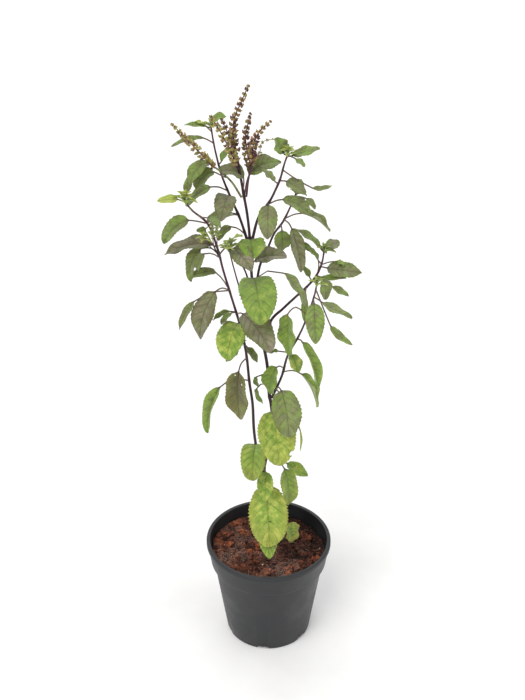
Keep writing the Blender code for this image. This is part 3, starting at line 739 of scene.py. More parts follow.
# Thin young shoots of the left stem, ending in lime buds.
SHOOTS: dict[str, StemShape] = {
    "shoot_front": StemShape("stem_left", 349, 0.5, 0.4, ((-49, -20, 358), (-50, -24, 369)), 0.9),
    "shoot_inner": StemShape("stem_left", 350, 0.5, 0.4, ((-46, -24, 361), (-46, -27, 371)), 0.9),
    "shoot_right": StemShape("stem_left", 348, 0.5, 0.4, ((-43, -22, 354), (-39, -27, 361)), 0.9),
    "shoot_outer": StemShape("stem_left", 351, 0.5, 0.4, ((-53, -22, 360), (-58, -27, 369)), 0.9),
}


@dataclass(frozen=True)
class TipShape:
    """A growing tip: its stem, how many folded leaves it has, their length and their spacing."""

    stem: str
    count: int
    length: float
    ripe: float = 0.08
    pace: float = 0.35
    steep: float = 20.0


TIPS: tuple[TipShape, ...] = (
    TipShape("stem_left", 14, 11, 0.02),
    TipShape("branch_right_low", 9, 9),
    TipShape("branch_right_mid", 9, 10, 0.2),
    TipShape("branch_left_mid", 8, 9, 0.3),
    TipShape("branch_left_inner", 8, 10, 0.3),
    TipShape("branch_right_high", 6, 9, 0.3),
    TipShape("branch_left_top", 10, 9),
    TipShape("branch_right_top", 12, 9, 0.0),
    TipShape("shoot_front", 18, 5, 0.0, 0.8, 55.0),
    TipShape("shoot_inner", 14, 4.5, 0.0, 0.7, 60.0),
    TipShape("shoot_right", 10, 7, 0.0, 0.3, 10.0),
    TipShape("shoot_outer", 12, 7, 0.02, 0.3, 10.0),
)


# The plant's lines


@dataclass
class Skeleton:
    """The centre lines of every stem and spike stalk, and what grows from where."""

    ground: float
    stems: dict[str, StemShape]
    gap: float = 0.3 * MM
    tip_gap: float = 0.9 * MM
    span_steps: int = 6
    swelling: float = 0.2
    swelling_reach: float = 2.2 * MM

    def place(self, x: float, y: float, z: float) -> Vector:
        """A point of the plant's tables, in metres."""
        return Vector((x, y, z)) * MM + Vector((0, 0, self.ground))

    def line(self, name: str) -> Line:
        """Centre points and radii of a stem.

        Args:
            name: the stem's name in the tables.

        Returns:
            Points from foot to tip, each with its radius.
        """
        stem = self.stems[name]
        points = [self.place(*point) for point in stem.route]
        if stem.parent:
            points.insert(0, self.foot(stem, points[0]))
        curve = smooth(points, self.span_steps)
        run = [0.0]
        for first, second in zip(curve, curve[1:]):
            run.append(run[-1] + (second - first).length)
        return [(point, blend(stem.base, stem.tip, at / run[-1]) * MM)
                for point, at in zip(curve, run)]

    def at(self, name: str, height: float) -> tuple[Vector, float, Vector]:
        """Where a stem is at a height above the soil.

        Args:
            name: the stem's name.
            height: the height in table millimetres.

        Returns:
            The centre, the radius and the direction of the stem there.
        """
        level = self.place(0, 0, height).z
        line = self.line(name)
        for (low, thick), (high, thin) in zip(line, line[1:]):
            share = max(0.0, (level - low.z) / (high.z - low.z))
            if share <= 1.0:
                break
        share = min(1.0, share)
        return low.lerp(high, share), blend(thick, thin, share), (high - low).normalized()

    def beside(self, name: str, height: float, towards: Vector, clearance: float) -> Vector:
        """A point next to a stem on the side that faces a direction.

        Args:
            name: the stem's name.
            height: the height in table millimetres.
            towards: the direction.
            clearance: how far it stays clear of the stem's surface.

        Returns:
            The point.
        """
        centre, radius, along = self.at(name, height)
        side = towards - along * towards.dot(along)
        return centre + side.normalized() * (radius + self.gap + clearance)

    def foot(self, stem: StemShape, towards: Vector) -> Vector:
        """First point of a branch: beside its parent, or end to end with the parent's tip."""
        tip = self.line(stem.parent)[-1][0]
        centre, _, along = self.at(stem.parent, stem.height)
        if centre.z >= tip.z - MM:
            return tip + along * self.tip_gap
        away = (towards - centre) * Vector((1, 1, 0))
        return self.beside(stem.parent, stem.height, away, stem.base * MM)

    def joints(self, name: str) -> list[float]:
        """Heights in metres where something grows from a stem."""
        found = [stem.height for stem in self.stems.values() if stem.parent == name]
        found += [leaf.height for leaf in LEAVES + SIDE_LEAVES if leaf.stem == name]
        return [self.place(0, 0, height).z for height in found]

    def swollen(self, name: str, line: Line) -> Line:
        """The same line, thicker at each joint where leaves or branches grow."""
        joints = self.joints(name)
        made = []
        for point, radius in line:
            near = max((math.exp(-((point.z - at) / self.swelling_reach) ** 2)
                        for at in joints), default=0.0)
            made.append((point, radius * (1 + self.swelling * near)))
        return made


# Meshes


def tinted(bm: bmesh.types.BMesh, name: str = "tint") -> object:
    """The mesh's colour attribute of a name, made if it isn't there."""
    layers = bm.verts.layers.float_color
    return layers.get(name) or layers.new(name)


def mesh_of(bm: bmesh.types.BMesh, name: str) -> bpy.types.Mesh:
    """Turn a bmesh into a mesh, and free it."""
    mesh = bpy.data.meshes.new(name)
    bm.to_mesh(mesh)
    bm.free()
    return mesh


def shown(name: str, data: bpy.types.ID) -> bpy.types.Object:
    """Put an object with this data in the scene."""
    made = bpy.data.objects.new(name, data)
    bpy.context.scene.collection.objects.link(made)
    return made


def lathe(outline: Iterable[Sequence[float]], steps: int) -> bmesh.types.BMesh:
    """Spin an outline that starts and ends on the Z axis into a closed shell.

    Args:
        outline: its points in the XZ plane.
        steps: how many faces go round it.

    Returns:
        The shell, with its normals outwards.
    """
    bm = bmesh.new()
    verts = [bm.verts.new(point) for point in outline]
    edges = [bm.edges.new(pair) for pair in zip(verts, verts[1:])]
    bmesh.ops.spin(bm, geom=verts + edges, cent=(0, 0, 0), axis=(0, 0, 1),
                   angle=math.tau, steps=steps, use_merge=True)
    bmesh.ops.remove_doubles(bm, verts=bm.verts, dist=MERGE)
    bmesh.ops.recalc_face_normals(bm, faces=bm.faces)
    return bm


def sweep(bm: bmesh.types.BMesh, line: Line, sides: int, tint: Callable[[float], Colour],
          ridge: float = 0.0) -> None:
    """Add a round tube with closed ends along a line.

    Args:
        bm: the mesh to add to.
        line: centre points with radii.
        sides: how many faces go round it.
        tint: gives the colour attribute for a share of the length.
        ridge: how far four long ridges stand out, as a share of the radius.
    """
    layer = tinted(bm)
    points = [line[0], *line, line[-1]]
    rows = len(points) - 1
    grid = bmesh.ops.create_grid(bm, x_segments=rows, y_segments=sides, size=1)["verts"]
    rings: list[list[bmesh.types.BMVert]] = [[] for _ in points]
    for vert in grid:
        rings[round((vert.co.x + 1) / 2 * rows)].append(vert)
    side = None
    for row, (ring, (centre, radius)) in enumerate(zip(rings, points)):
        at = min(max(row - 1, 0), len(line) - 1)
        along = (line[min(at + 1, len(line) - 1)][0] - line[max(at - 1, 0)][0]).normalized()
        side = along.orthogonal() if side is None else side - along * side.dot(along)
        side.normalize()
        other = along.cross(side)
        closed = row in (0, rows)
        for vert in ring:
            angle = math.pi * vert.co.y
            reach = 0.0 if closed else radius * (1 + ridge * math.cos(4 * angle))
            vert.co = centre + (side * math.cos(angle) + other * math.sin(angle)) * reach
            vert[layer] = tint(max(0, row - 1) / max(1, len(line) - 1))
    bmesh.ops.remove_doubles(bm, verts=grid, dist=1e-7)


def loose_copy(bm: bmesh.types.BMesh, shape: bpy.types.Mesh,
               place: Matrix) -> list[bmesh.types.BMVert]:
    """Add a copy of a mesh.

    Args:
        bm: the mesh to add to.
        shape: the mesh to copy.
        place: where it goes.

    Returns:
        The copy's vertices.
    """
    known = set(bm.verts)
    bm.from_mesh(shape)
    verts = [vert for vert in bm.verts if vert not in known]
    bmesh.ops.transform(bm, matrix=place, verts=verts)
    return verts


def piece(name: str, bm: bmesh.types.BMesh, finishes: Iterable[Finish],
          stands_for: str = "", outward: bool = True) -> bpy.types.Object:
    """Turn a mesh into a finished piece of the plant or pot.

    Args:
        name: the piece's name.
        bm: its mesh, which is freed.
        finishes: its materials.
        stands_for: the CAD node it replaces, if any.
        outward: whether its normals are recalculated.

    Returns:
        The piece.
    """
    if outward:
        bmesh.ops.recalc_face_normals(bm, faces=bm.faces)
    for face in bm.faces:
        face.smooth = True
    mesh = mesh_of(bm, name)
    made = shown(name, mesh)
    for finish in finishes:
        mesh.materials.append(finish.material())
    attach(made, "root")
    if stands_for:
        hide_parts(stands_for)
    log.info("%s: %d faces", name, len(mesh.polygons))
    return made


# Pot and soil


@dataclass
class Pot:
    """A moulded nursery pot: floor, tapered body, stepped collar, flat lip and drain slots."""

    height: float = 115 * MM
    rim: float = 65 * MM
    base: float = 44.5 * MM
    wall: float = 1.5 * MM
    floor: float = 1.8 * MM
    lip_width: float = 4 * MM
    lip_height: float = 5 * MM
    lip_overhang: float = 1.5 * MM
    collar_height: float = 26 * MM
    collar_taper: float = 3 * MM
    shoulder: float = 3 * MM
    rounding: float = 0.9 * MM
    steps: int = 128
    slots: int = 6
    slot_size: tuple[float, float, float] = (16 * MM, 12 * MM, 7 * MM)
    slot_first: float = -98.0
    sharp_from: float = 40.0

    def body_radius(self, height: float) -> float:
        """Outer radius of the tapered body at a height."""
        widest = self.rim - self.lip_overhang - self.collar_taper - self.shoulder
        return blend(self.base, widest, height / (self.height - self.collar_height))

    def inside(self, height: float) -> float:
        """Inner radius of the collar at a height."""
        ledge = self.height - self.collar_height + self.wall
        low = self.rim - self.lip_overhang - self.collar_taper - self.wall
        return blend(low, self.rim - self.lip_width, (height - ledge) / (self.height - ledge))

    def profile(self) -> list[tuple[float, float, float]]:
        """Radius, height and rounding of each corner of the pot's section."""
        step = self.height - self.collar_height
        ledge = step + self.wall
        collar = self.rim - self.lip_overhang
        soft = self.rounding
        return [
            (0, self.floor, 0),
            (self.body_radius(self.floor) - self.wall, self.floor, soft),
            (self.body_radius(ledge) - self.wall, ledge, soft),
            (self.inside(ledge), ledge, soft),
            (self.rim - self.lip_width, self.height, soft * 0.8),
            (self.rim, self.height, soft * 1.4),
            (self.rim, self.height - self.lip_height, soft * 0.8),
            (collar, self.height - self.lip_height, soft * 0.5),
            (collar - self.collar_taper, step, soft * 1.6),
            (self.body_radius(step), step, soft * 0.8),
            (self.base, 0, soft * 2.2),
            (0, 0, 0),
        ]

    def rounded(self) -> list[Vector]:
        """The section's points in the XZ plane, with each corner turned into a short curve."""
        corners = self.profile()
        made = [Vector((corners[0][0], 0, corners[0][1]))]
        for before, here, after in zip(corners, corners[1:], corners[2:]):
            corner = Vector((here[0], 0, here[1]))
            back = Vector((before[0], 0, before[1])) - corner
            ahead = Vector((after[0], 0, after[1])) - corner
            reach = min(here[2], back.length * 0.45, ahead.length * 0.45)
            start = corner + back.normalized() * reach
            end = corner + ahead.normalized() * reach
            for step in range(5):
                share = step / 4
                made.append(start.lerp(corner, share).lerp(corner.lerp(end, share), share))
        last = corners[-1]
        return [*made, Vector((last[0], 0, last[1]))]

    def slot_blocks(self) -> bpy.types.Object:
        """The blocks that cut the drain slots at the foot."""
        bm = bmesh.new()
        size = Matrix.Diagonal((*self.slot_size, 1))
        out = Matrix.Translation((self.base, 0, 0))
        for index in range(self.slots):
            angle = math.radians(self.slot_first + 360 * index / self.slots)
            bmesh.ops.create_cube(bm, size=1, matrix=Matrix.Rotation(angle, 4, "Z") @ out @ size)
        return shown("slot_blocks", mesh_of(bm, "slot_blocks"))

    def build(self) -> bpy.types.Object:
        """Spin the section into the pot, cut its slots and dress it."""
        shell = shown("pot_shell", mesh_of(lathe(self.rounded(), self.steps), "pot_shell"))
        blocks = self.slot_blocks()
        cut = shell.modifiers.new("slots", "BOOLEAN")
        cut.operation = "DIFFERENCE"
        cut.solver = "EXACT"
        cut.object = blocks
        graph = bpy.context.evaluated_depsgraph_get()
        finished = bmesh.new()
        finished.from_mesh(shell.evaluated_get(graph).to_mesh())
        bpy.data.objects.remove(shell)
        bpy.data.objects.remove(blocks)
        made = piece("nursery_pot", finished, [POT_PLASTIC], "pot", False)
        made.data.set_sharp_from_angle(angle=math.radians(self.sharp_from))
        return made


@dataclass
class Soil:
    """Red earth with coco peat: a crumbled surface, loose crumbs, fibres and bits of lime."""

    pot: Pot
    level: float
    clearance: float = 0.3 * MM
    rings: int = 64
    steps: int = 180
    tilt: float = -0.035
    lump: float = 3.4 * MM
    lump_width: float = 15 * MM
    crumb: float = 2.2 * MM
    crumb_width: float = 4.0 * MM
    crumbs: int = 2600
    clods: int = 200
    lumps: int = 26
    lump_sizes: tuple[float, float] = (3.5, 6.5)
    clod_sizes: tuple[float, float] = (1.2, 3.0)
    crumb_sizes: tuple[float, float] = (0.35, 1.1)
    side_tone: float = 0.4
    top_tone: float = 0.36
    # Each millimetre of height lightens the surface by this much: painted shade in the hollows,
    # lighter on the lumps.
    hollow_shade: float = 0.12
    lime_tone: float = 1.3
    fibres: int = 150
    fibre_points: int = 5
    bits: int = 16
    seed: int = 7

    def edge(self) -> float:
        """Radius of the surface where it meets the pot."""
        return self.pot.inside(self.level) - self.clearance

    def surface(self, x: float, y: float) -> float:
        """Height of the soil at a place.

        Args:
            x: metres to the right.
            y: metres to the back.

        Returns:
            The height in metres.
        """
        place = Vector((x, y, 0))
        share = math.hypot(x, y) / self.edge()
        held = 1 - 0.45 * ease((share - 0.8) / 0.2)
        coarse = fractal(place, self.lump_width, 3.1, 2) * self.lump
        fine = fractal(place, self.crumb_width, 9.4, 3) * self.crumb
        return self.level + self.tilt * x + (coarse + fine) * held - 0.6 * MM

    def body(self) -> bpy.types.Object:
        """The soil itself, turned to fill the pot, with its surface broken up."""
        low = self.pot.floor + self.clearance
        ledge = self.pot.height - self.pot.collar_height + self.pot.wall + self.clearance
        side = [
            (self.pot.body_radius(low) - self.pot.wall - self.clearance, low),
            (self.pot.body_radius(ledge) - self.pot.wall - self.clearance, ledge),
            (self.pot.inside(ledge) - self.clearance, ledge),
        ]
        top = [(self.edge() * ring / self.rings, self.level) for ring in range(self.rings, -1, -1)]
        bm = lathe([(radius, 0, height) for radius, height in [(0, low), *side, *top]],
                   self.steps)
        layer = tinted(bm)
        for vert in bm.verts:
            tone = self.side_tone
            if vert.co.z > self.level - MM:
                place = vert.co.copy()
                vert.co.z = self.surface(place.x, place.y)
                # Painted shade: the hollows are darker than the lumps.
                tone = (self.top_tone + self.hollow_shade * (vert.co.z - self.level) / MM
                        + 0.2 * fractal(place, 6 * MM, 2.0))
            vert[layer] = (tone, tone, tone, 1)
        return piece("soil_bed", bm, [EARTH], "soil")

    def spot(self, draw: random.Random, margin: float) -> Vector:
        """A random place on the surface, a margin in from the pot's wall."""
        reach = (self.edge() - margin) * math.sqrt(draw.random())
        angle = draw.uniform(0, math.tau)
        x, y = reach * math.cos(angle), reach * math.sin(angle)
        return Vector((x, y, self.surface(x, y)))

    def loose(self) -> bpy.types.Object:
        """Lumps, clods and crumbs lying on the surface."""
        draw = random.Random(self.seed)
        bm = bmesh.new()
        layer = tinted(bm)
        for index in range(self.crumbs + self.clods + self.lumps):
            lump = index < self.lumps
            clod = lump or index < self.clods + self.lumps
            sizes = self.lump_sizes if lump else self.clod_sizes if clod else self.crumb_sizes
            size = draw.uniform(*sizes) * MM
            place = self.spot(draw, size)
            place.z += size * draw.uniform(-0.1, 0.45) * (0 if lump else 1)
            turn = Matrix.Rotation(draw.uniform(0, math.tau), 4, draw.choice("XYZ"))
            shape = Matrix.Diagonal((size, size * draw.uniform(0.6, 1.0),
                                     size * draw.uniform(0.5, 0.9), 1))
            cuts = 4 if lump else 2 if clod else 1
            verts = bmesh.ops.create_icosphere(bm, subdivisions=cuts, radius=1)["verts"]
            tone = draw.uniform(0.4, 0.75) if lump else draw.uniform(0.05, 0.6)
            shift = draw.uniform(0, 50)
            for vert in verts:
                rough = fractal(vert.co, 0.7, shift, 4) if lump else noise.noise(
                    vert.co * 1.6 + Vector((shift, 0, 0)))
                vert.co *= 1 + 0.5 * rough
                # Painted shade: each lump and crumb is darker in its dents and lighter on its
                # knobs.
                own = tone + 0.5 * rough
                vert[layer] = (own, own, own, 1)
            bmesh.ops.transform(bm, matrix=Matrix.Translation(place) @ turn @ shape, verts=verts)
        return piece("soil_crumbs", bm, [EARTH])

    def litter(self) -> bpy.types.Object:
        """Coir fibres and bits of lime lying on the surface."""
        draw = random.Random(self.seed + 1)
        bm = bmesh.new()
        layer = tinted(bm)
        for _ in range(self.fibres):
            start = self.spot(draw, 9 * MM)
            heading = draw.uniform(0, math.tau)
            bend = draw.uniform(-0.5, 0.5)
            step = draw.uniform(1.0, 3.0) * MM
            tone = draw.uniform(0.0, 0.55)
            line = []
            for _ in range(self.fibre_points):
                line.append((start.copy(), draw.uniform(0.12, 0.2) * MM))
                heading += bend
                start += Vector((math.cos(heading), math.sin(heading), 0)) * step
                start.z = self.surface(start.x, start.y) + draw.uniform(0.3, 1.2) * MM
            sweep(bm, line, 4, lambda share: (tone, tone, tone, 1))
        for _ in range(self.bits):
            size = draw.uniform(0.5, 1.1) * MM
            verts = bmesh.ops.create_icosphere(bm, subdivisions=1, radius=size)["verts"]
            for vert in verts:
                vert[layer] = (self.lime_tone,) * 3 + (1,)
            place = self.spot(draw, 2 * MM) + Vector((0, 0, size * 0.8))
            bmesh.ops.translate(bm, vec=place, verts=verts)
        return piece("soil_litter", bm, [FIBRE])

    def build(self) -> None:
        """Make the bed and what lies on it."""
        self.body()
        self.loose()
        self.litter()


# Stems and spikes


@dataclass
class StemWork:
    """The woody stem and its branches, swollen where leaves grow and ridged lengthwise."""

    skeleton: Skeleton
    sides: int = 16
    root_depth: float = 10 * MM
    ridge: float = 0.07

    def build(self, name: str, node: str = "") -> bpy.types.Object:
        """Make one stem.

        Args:
            name: its name in the tables.
            node: the CAD node it replaces, if any.

        Returns:
            The piece.
        """
        shape = self.skeleton.stems[name]
        line = self.skeleton.swollen(name, self.skeleton.line(name))
        start, radius = line[0]
        if shape.parent:
            centre = self.skeleton.at(shape.parent, shape.height)[0]
            line = [(centre, radius * 0.9), (start, radius * 1.3), *line[1:]]
        else:
            line.insert(0, (start - Vector((0, 0, self.root_depth)), radius))
        tip, thin = line[-1]
        line.append((tip + (tip - line[-2][0]).normalized() * thin * 0.6, thin * 0.6))
        bm = bmesh.new()
        sweep(bm, line, self.sides,
              lambda share: (shape.youth * share ** 2,) * 3 + (1,), self.ridge)
        return piece("basil_" + name, bm, [STEM_SKIN], node)


@dataclass
class Calyx:
    """One calyx on its own stalk: a small bell with a raised upper lip and a hollow mouth."""

    stalk: float = 1.5 * MM
    stalk_radius: float = 0.28 * MM
    length: float = 2.1 * MM
    foot: float = 0.5 * MM
    mouth: float = 1.35 * MM
    belly: float = 1.2
    hollow: float = 0.8 * MM
    lip: float = 0.9 * MM
    ribs: int = 8

    def mesh(self) -> bpy.types.Mesh:
        """The bell along +X from the origin, with its mouth marked in its tint."""
        bm = bmesh.new()
        layer = tinted(bm)
        stalk = bmesh.ops.create_cone(bm, cap_ends=True, segments=4, radius1=self.stalk_radius,
                                      radius2=self.stalk_radius, depth=self.stalk)["verts"]
        bmesh.ops.translate(bm, vec=(0, 0, self.stalk * 0.6 - self.length), verts=stalk)
        bell = bmesh.ops.create_cone(bm, cap_ends=True, segments=self.ribs, radius1=self.foot,
                                     radius2=self.mouth, depth=self.length)["verts"]
        bmesh.ops.translate(bm, vec=(0, 0, -self.length / 2), verts=bell)
        walls = [edge for edge in {edge for vert in bell for edge in vert.link_edges}
                 if abs(edge.verts[0].co.z - edge.verts[1].co.z) > self.length / 2]
        middle = bmesh.ops.subdivide_edges(bm, edges=walls, cuts=1)["geom_inner"]
        for vert in (part for part in middle if isinstance(part, bmesh.types.BMVert)):
            vert.co.x *= self.belly
            vert.co.y *= self.belly
        caps = [face for face in bm.faces if face.calc_center_median().z > -self.hollow / 4]
        bmesh.ops.inset_region(bm, faces=caps, thickness=self.mouth * 0.22, depth=0.0)
        for vert in {vert for face in caps for vert in face.verts}:
            vert.co.z -= self.hollow
            vert[layer] = (0, 1, 0, 1)
        for vert in bm.verts:
            if vert.co.z > -self.hollow / 4 and vert.co.x > self.mouth * 0.4:
                vert.co.z += self.lip
                vert.co.x += self.lip * 0.3
        bmesh.ops.rotate(bm, cent=(0, 0, 0), verts=bm.verts,
                         matrix=Matrix.Rotation(math.radians(90), 3, "Y"))
        bmesh.ops.translate(bm, vec=(self.length + self.stalk * 0.6, 0, 0), verts=bm.verts)
        return mesh_of(bm, "calyx")


@dataclass
class SpikeWork:
    """Flower spikes: a thin stalk with whorls of calyces that close up towards the tip."""

    skeleton: Skeleton
    calyx: bpy.types.Mesh
    pitch: float = 4.6 * MM
    per_whorl: int = 7
    closing: float = 0.5
    scatter: float = 0.8 * MM
    sides: int = 8
    full_reach: float = 4.1
    purple_tones: tuple[float, float] = (0.0, 0.25)
    straw_tones: tuple[float, float] = (0.35, 0.6)
    green_tones: tuple[float, float] = (0.75, 1.0)

    def along(self, line: Line, distance: float) -> tuple[Vector, Vector]:
        """The point and direction at a distance along a line."""
        for (low, _), (high, _) in zip(line, line[1:]):
            span = (high - low).length
            if distance <= span:
                return low.lerp(high, distance / span), (high - low).normalized()
            distance -= span
        return line[-1][0], (line[-1][0] - line[-2][0]).normalized()

    def build(self, name: str, shape: SpikeShape, node: str = "") -> bpy.types.Object:
        """Make one spike.

        Args:
            name: its name in the tables.
            shape: its stalk and colouring.
            node: the CAD node it replaces, if any.

        Returns:
            The piece.
        """
        draw = random.Random(name)
        line = self.skeleton.line(name)
        centre = self.skeleton.at(shape.stalk.parent, shape.stalk.height)[0]
        stalk = [(centre, line[0][1] * 0.8), *line]
        bm = bmesh.new()
        youth = 0.8 if shape.purple < 0.15 else 0.3
        sweep(bm, stalk, self.sides, lambda share: (youth,) * 3 + (1,))
        stalk_faces = set(bm.faces)
        length = sum((high[0] - low[0]).length for low, high in zip(line, line[1:]))
        bare = shape.bare * MM
        count = max(3, round((length - bare) / self.pitch))
        pitch = (length - bare) / count
        for whorl in range(count + 1):
            size = (1 - self.closing * (whorl / count) ** 2) * shape.reach / self.full_reach
            point, way = self.along(line, bare + (whorl + 0.3) * pitch)
            frame_side = way.orthogonal().normalized()
            for index in range(self.per_whorl):
                angle = math.tau * (index + 0.5 * (whorl % 2)) / self.per_whorl
                angle += draw.uniform(-0.3, 0.3)
                out = Matrix.Rotation(angle, 3, way) @ frame_side
                lift = draw.uniform(-0.4, 0.3) + 1.2 * (whorl / count) ** 3
                out = (out + way * lift).normalized()
                other = out.cross(way).normalized()
                turn = Matrix((out, other, out.cross(other))).transposed().to_4x4()
                scale = Matrix.Scale(size * draw.uniform(0.9, 1.25), 4)
                shift = way * draw.uniform(-self.scatter, self.scatter)
                start = Matrix.Translation(point + shift + out * 0.3 * MM * size)
                verts = loose_copy(bm, self.calyx, start @ turn @ scale)
                pick = draw.random()
                tone = draw.uniform(*(
                    self.purple_tones if pick < shape.purple else
                    self.straw_tones if pick < shape.purple + shape.straw else
                    self.green_tones))
                mouth = draw.random() ** 2 * (1 - 0.5 * shape.purple)
                layer = tinted(bm)
                for vert in verts:
                    vert[layer] = (tone, vert[layer][1], mouth, 1)
        for face in bm.faces:
            face.material_index = 0 if face in stalk_faces else 1
        return piece("flower_" + name, bm, [STEM_SKIN, CALYX], node)


# Leaves


class LeafZone(Enum):
    """The record's slot for a leaf, by how high it grows."""

    LOWER = "leaf_lower"
    MIDDLE = "leaf_middle"
    UPPER = "leaf_upper"


@dataclass
class LeafWork:
    """Leaves: a grooved stalk that opens into a quilted, toothed and veined blade."""

    skeleton: Skeleton
    stand_off: float = 0.65 * MM
    stalk_radius: float = 0.5 * MM
    rooting: float = 1.1 * MM
    thickness: float = 0.35 * MM
    petiole_steps: int = 2
    blade_steps: int = 7
    limpness: float = 0.6
    fine_steps: int = 8
    petiole_rows: int = 6
    blade_rows: int = 60
    columns: int = 14
    veins: int = 7
    tooth_pitch: float = 3.3 * MM
    tooth: float = 0.06
    quilt: float = 0.7 * MM
    groove: float = 0.45 * MM
    wave: float = 2.0 * MM
    full_width: float = 26.0
    fewest_teeth: int = 8
    vein_lead: float = 0.42
    rib_width: float = 0.9 * MM
    lower_top: float = 190.0
    middle_top: float = 345.0

    def outline(self, leaf: LeafShape, t: float) -> float:
        """Share of the blade's full width at a share of its length."""
        if not 0 < t < 1:
            return 0.0
        widest, fullness = blend(0.77, 0.92, leaf.blunt), blend(0.8, 0.5, leaf.blunt)
        return math.sin(math.pi * t ** widest) ** fullness

    def midrib(self, leaf: LeafShape) -> list[Vector]:
        """The midrib in the leaf's own vertical plane, from stalk end to tip."""
        points = [Vector((0, 0, 0))]
        for index in range(self.petiole_steps + self.blade_steps):
            if index < self.petiole_steps:
                slope = blend(leaf.rise, leaf.dip, (index + 0.5) / self.petiole_steps)
                length = leaf.petiole / self.petiole_steps
            else:
                share = ((index - self.petiole_steps + 0.5) / self.blade_steps) ** self.limpness
                slope = blend(leaf.dip, leaf.droop, share)
                length = leaf.length / self.blade_steps
            angle = math.radians(slope)
            points.append(points[-1] + Vector((math.cos(angle), 0, math.sin(angle))) * length * MM)
        points[0] = Vector((-self.rooting, 0, 0))
        return smooth(points, self.fine_steps)

    def frames(self, leaf: LeafShape) -> list[tuple[Vector, Vector, Vector]]:
        """Place, across and up at each fine step of the midrib.

        Args:
            leaf: the leaf.

        Returns:
            One triple of vectors for each step, in the leaf's own frame.
        """
        rib = self.midrib(leaf)
        made = []
        for index, place in enumerate(rib):
            along = rib[min(index + 1, len(rib) - 1)] - rib[max(index - 1, 0)]
            across = Vector((0, 1, 0))
            up = along.normalized().cross(across)
            turn = math.radians(leaf.roll) * min(1.0, index / self.fine_steps / self.petiole_steps)
            made.append((place, across * math.cos(turn) + up * math.sin(turn),
                         up * math.cos(turn) - across * math.sin(turn)))
        return made

    def phase(self, leaf: LeafShape, t: float, side: float) -> float:
        """Which lateral vein is near: whole numbers lie on a vein."""
        lead = self.vein_lead * leaf.width / leaf.length
        return (t - lead * abs(side) ** 1.2) * self.veins

    def section(self, leaf: LeafShape, t: float, s: float, draw: tuple[float, ...]) -> Vector:
        """Offset from the midrib: across and up.

        Args:
            leaf: the leaf.
            t: share of the blade's length, under 0 on the stalk.
            s: place across, -1 to 1.
            draw: this leaf's own random numbers.

        Returns:
            The offset as x across and y up, in metres.
        """
        stalk = self.stalk_radius
        angle = s * 0.82 * math.pi
        round_part = Vector((math.sin(angle), -math.cos(angle) + 0.4)) * stalk
        if t <= 0:
            return round_part
        half = max(stalk, leaf.width * MM * self.outline(leaf, t) / 2)
        side = abs(s)
        fold = math.radians(leaf.fold)
        teeth = max(self.fewest_teeth, round(leaf.length * MM / self.tooth_pitch))
        saw = (t * teeth + draw[0]) % 1.0
        tooth = (saw - 0.5 if saw < 0.75 else 0.25 - (saw - 0.75) * 3.0) * self.tooth * 2
        tooth *= 1 + 0.6 * noise.noise(Vector((t * 9, draw[3] * 50, 4.0 * (s > 0))))
        edge = 1 + tooth * side ** 8 * ease(t / 0.12)
        x = s * half * edge * math.cos(fold)
        lift = math.sin(fold) * half * (1.5 * side - 0.5 * side * side)
        phase = self.phase(leaf, t, s)
        size = min(1.0, leaf.width / self.full_width)
        quilt = (abs(math.sin(math.pi * phase)) ** 0.65 - 0.6) * self.quilt * size
        quilt *= min(1.0, side * 5) * (1 - 0.7 * side ** 4)
        rib = math.exp(-(s * half / self.rib_width) ** 2) * self.groove * size
        ripple = math.sin(math.tau * (t * (1.3 + draw[1]) + draw[2]) + (0 if s > 0 else 2.0))
        ripple *= self.wave * size * side ** 2 * ease(t / 0.3)
        rough = fractal(Vector((t * leaf.length, s * half / MM, draw[3])) * MM, 6 * MM) * 0.25 * MM
        y = lift + quilt - rib + ripple + rough * size
        opening = ease(t / 0.09)
        return round_part.lerp(Vector((x, y)), opening)

    def grid(self, bm: bmesh.types.BMesh, leaf: LeafShape,
             coarse: int) -> dict[bmesh.types.BMVert, tuple[float, float]]:
        """Add a flat grid and note each vertex's place along and across the leaf.

        Args:
            bm: the mesh to add to.
            leaf: the leaf.
            coarse: what the numbers of rows and columns are divided by.

        Returns:
            Each vertex with its midrib step and its place across.
        """
        stalk_rows = max(3, self.petiole_rows // coarse)
        rows = max(10, self.blade_rows // coarse)
        columns = max(4, self.columns // coarse // 2 * 2)
        total = stalk_rows + rows
        verts = bmesh.ops.create_grid(bm, x_segments=total, y_segments=columns, size=1)["verts"]
        spots = {}
        for vert in verts:
            row = round((vert.co.x + 1) / 2 * total)
            if row <= stalk_rows:
                step = self.petiole_steps * row / stalk_rows
            else:
                step = self.petiole_steps + self.blade_steps * (row - stalk_rows) / rows
            spots[vert] = (step, round(vert.co.y * columns / 2) / (columns / 2))
        for wound in leaf.wounds:
            self.pierce(bm, leaf, spots, wound)
        return spots

    def pierce(self, bm: bmesh.types.BMesh, leaf: LeafShape,
               spots: dict[bmesh.types.BMVert, tuple[float, float]], wound: Wound) -> None:
        """Cut a round hole or bite out of the flat grid.

        Args:
            bm: the mesh.
            leaf: the leaf.
            spots: each vertex's place, which changes round the hole.
            wound: where the hole is.
        """
        def flat(step: float, s: float) -> Vector:
            """Millimetres from the wound's centre on the flat blade."""
            t = (step - self.petiole_steps) / self.blade_steps
            half = leaf.width / 2 * max(0.1, self.outline(leaf, t))
            return Vector(((t - wound.along) * leaf.length, (s - wound.across) * half))

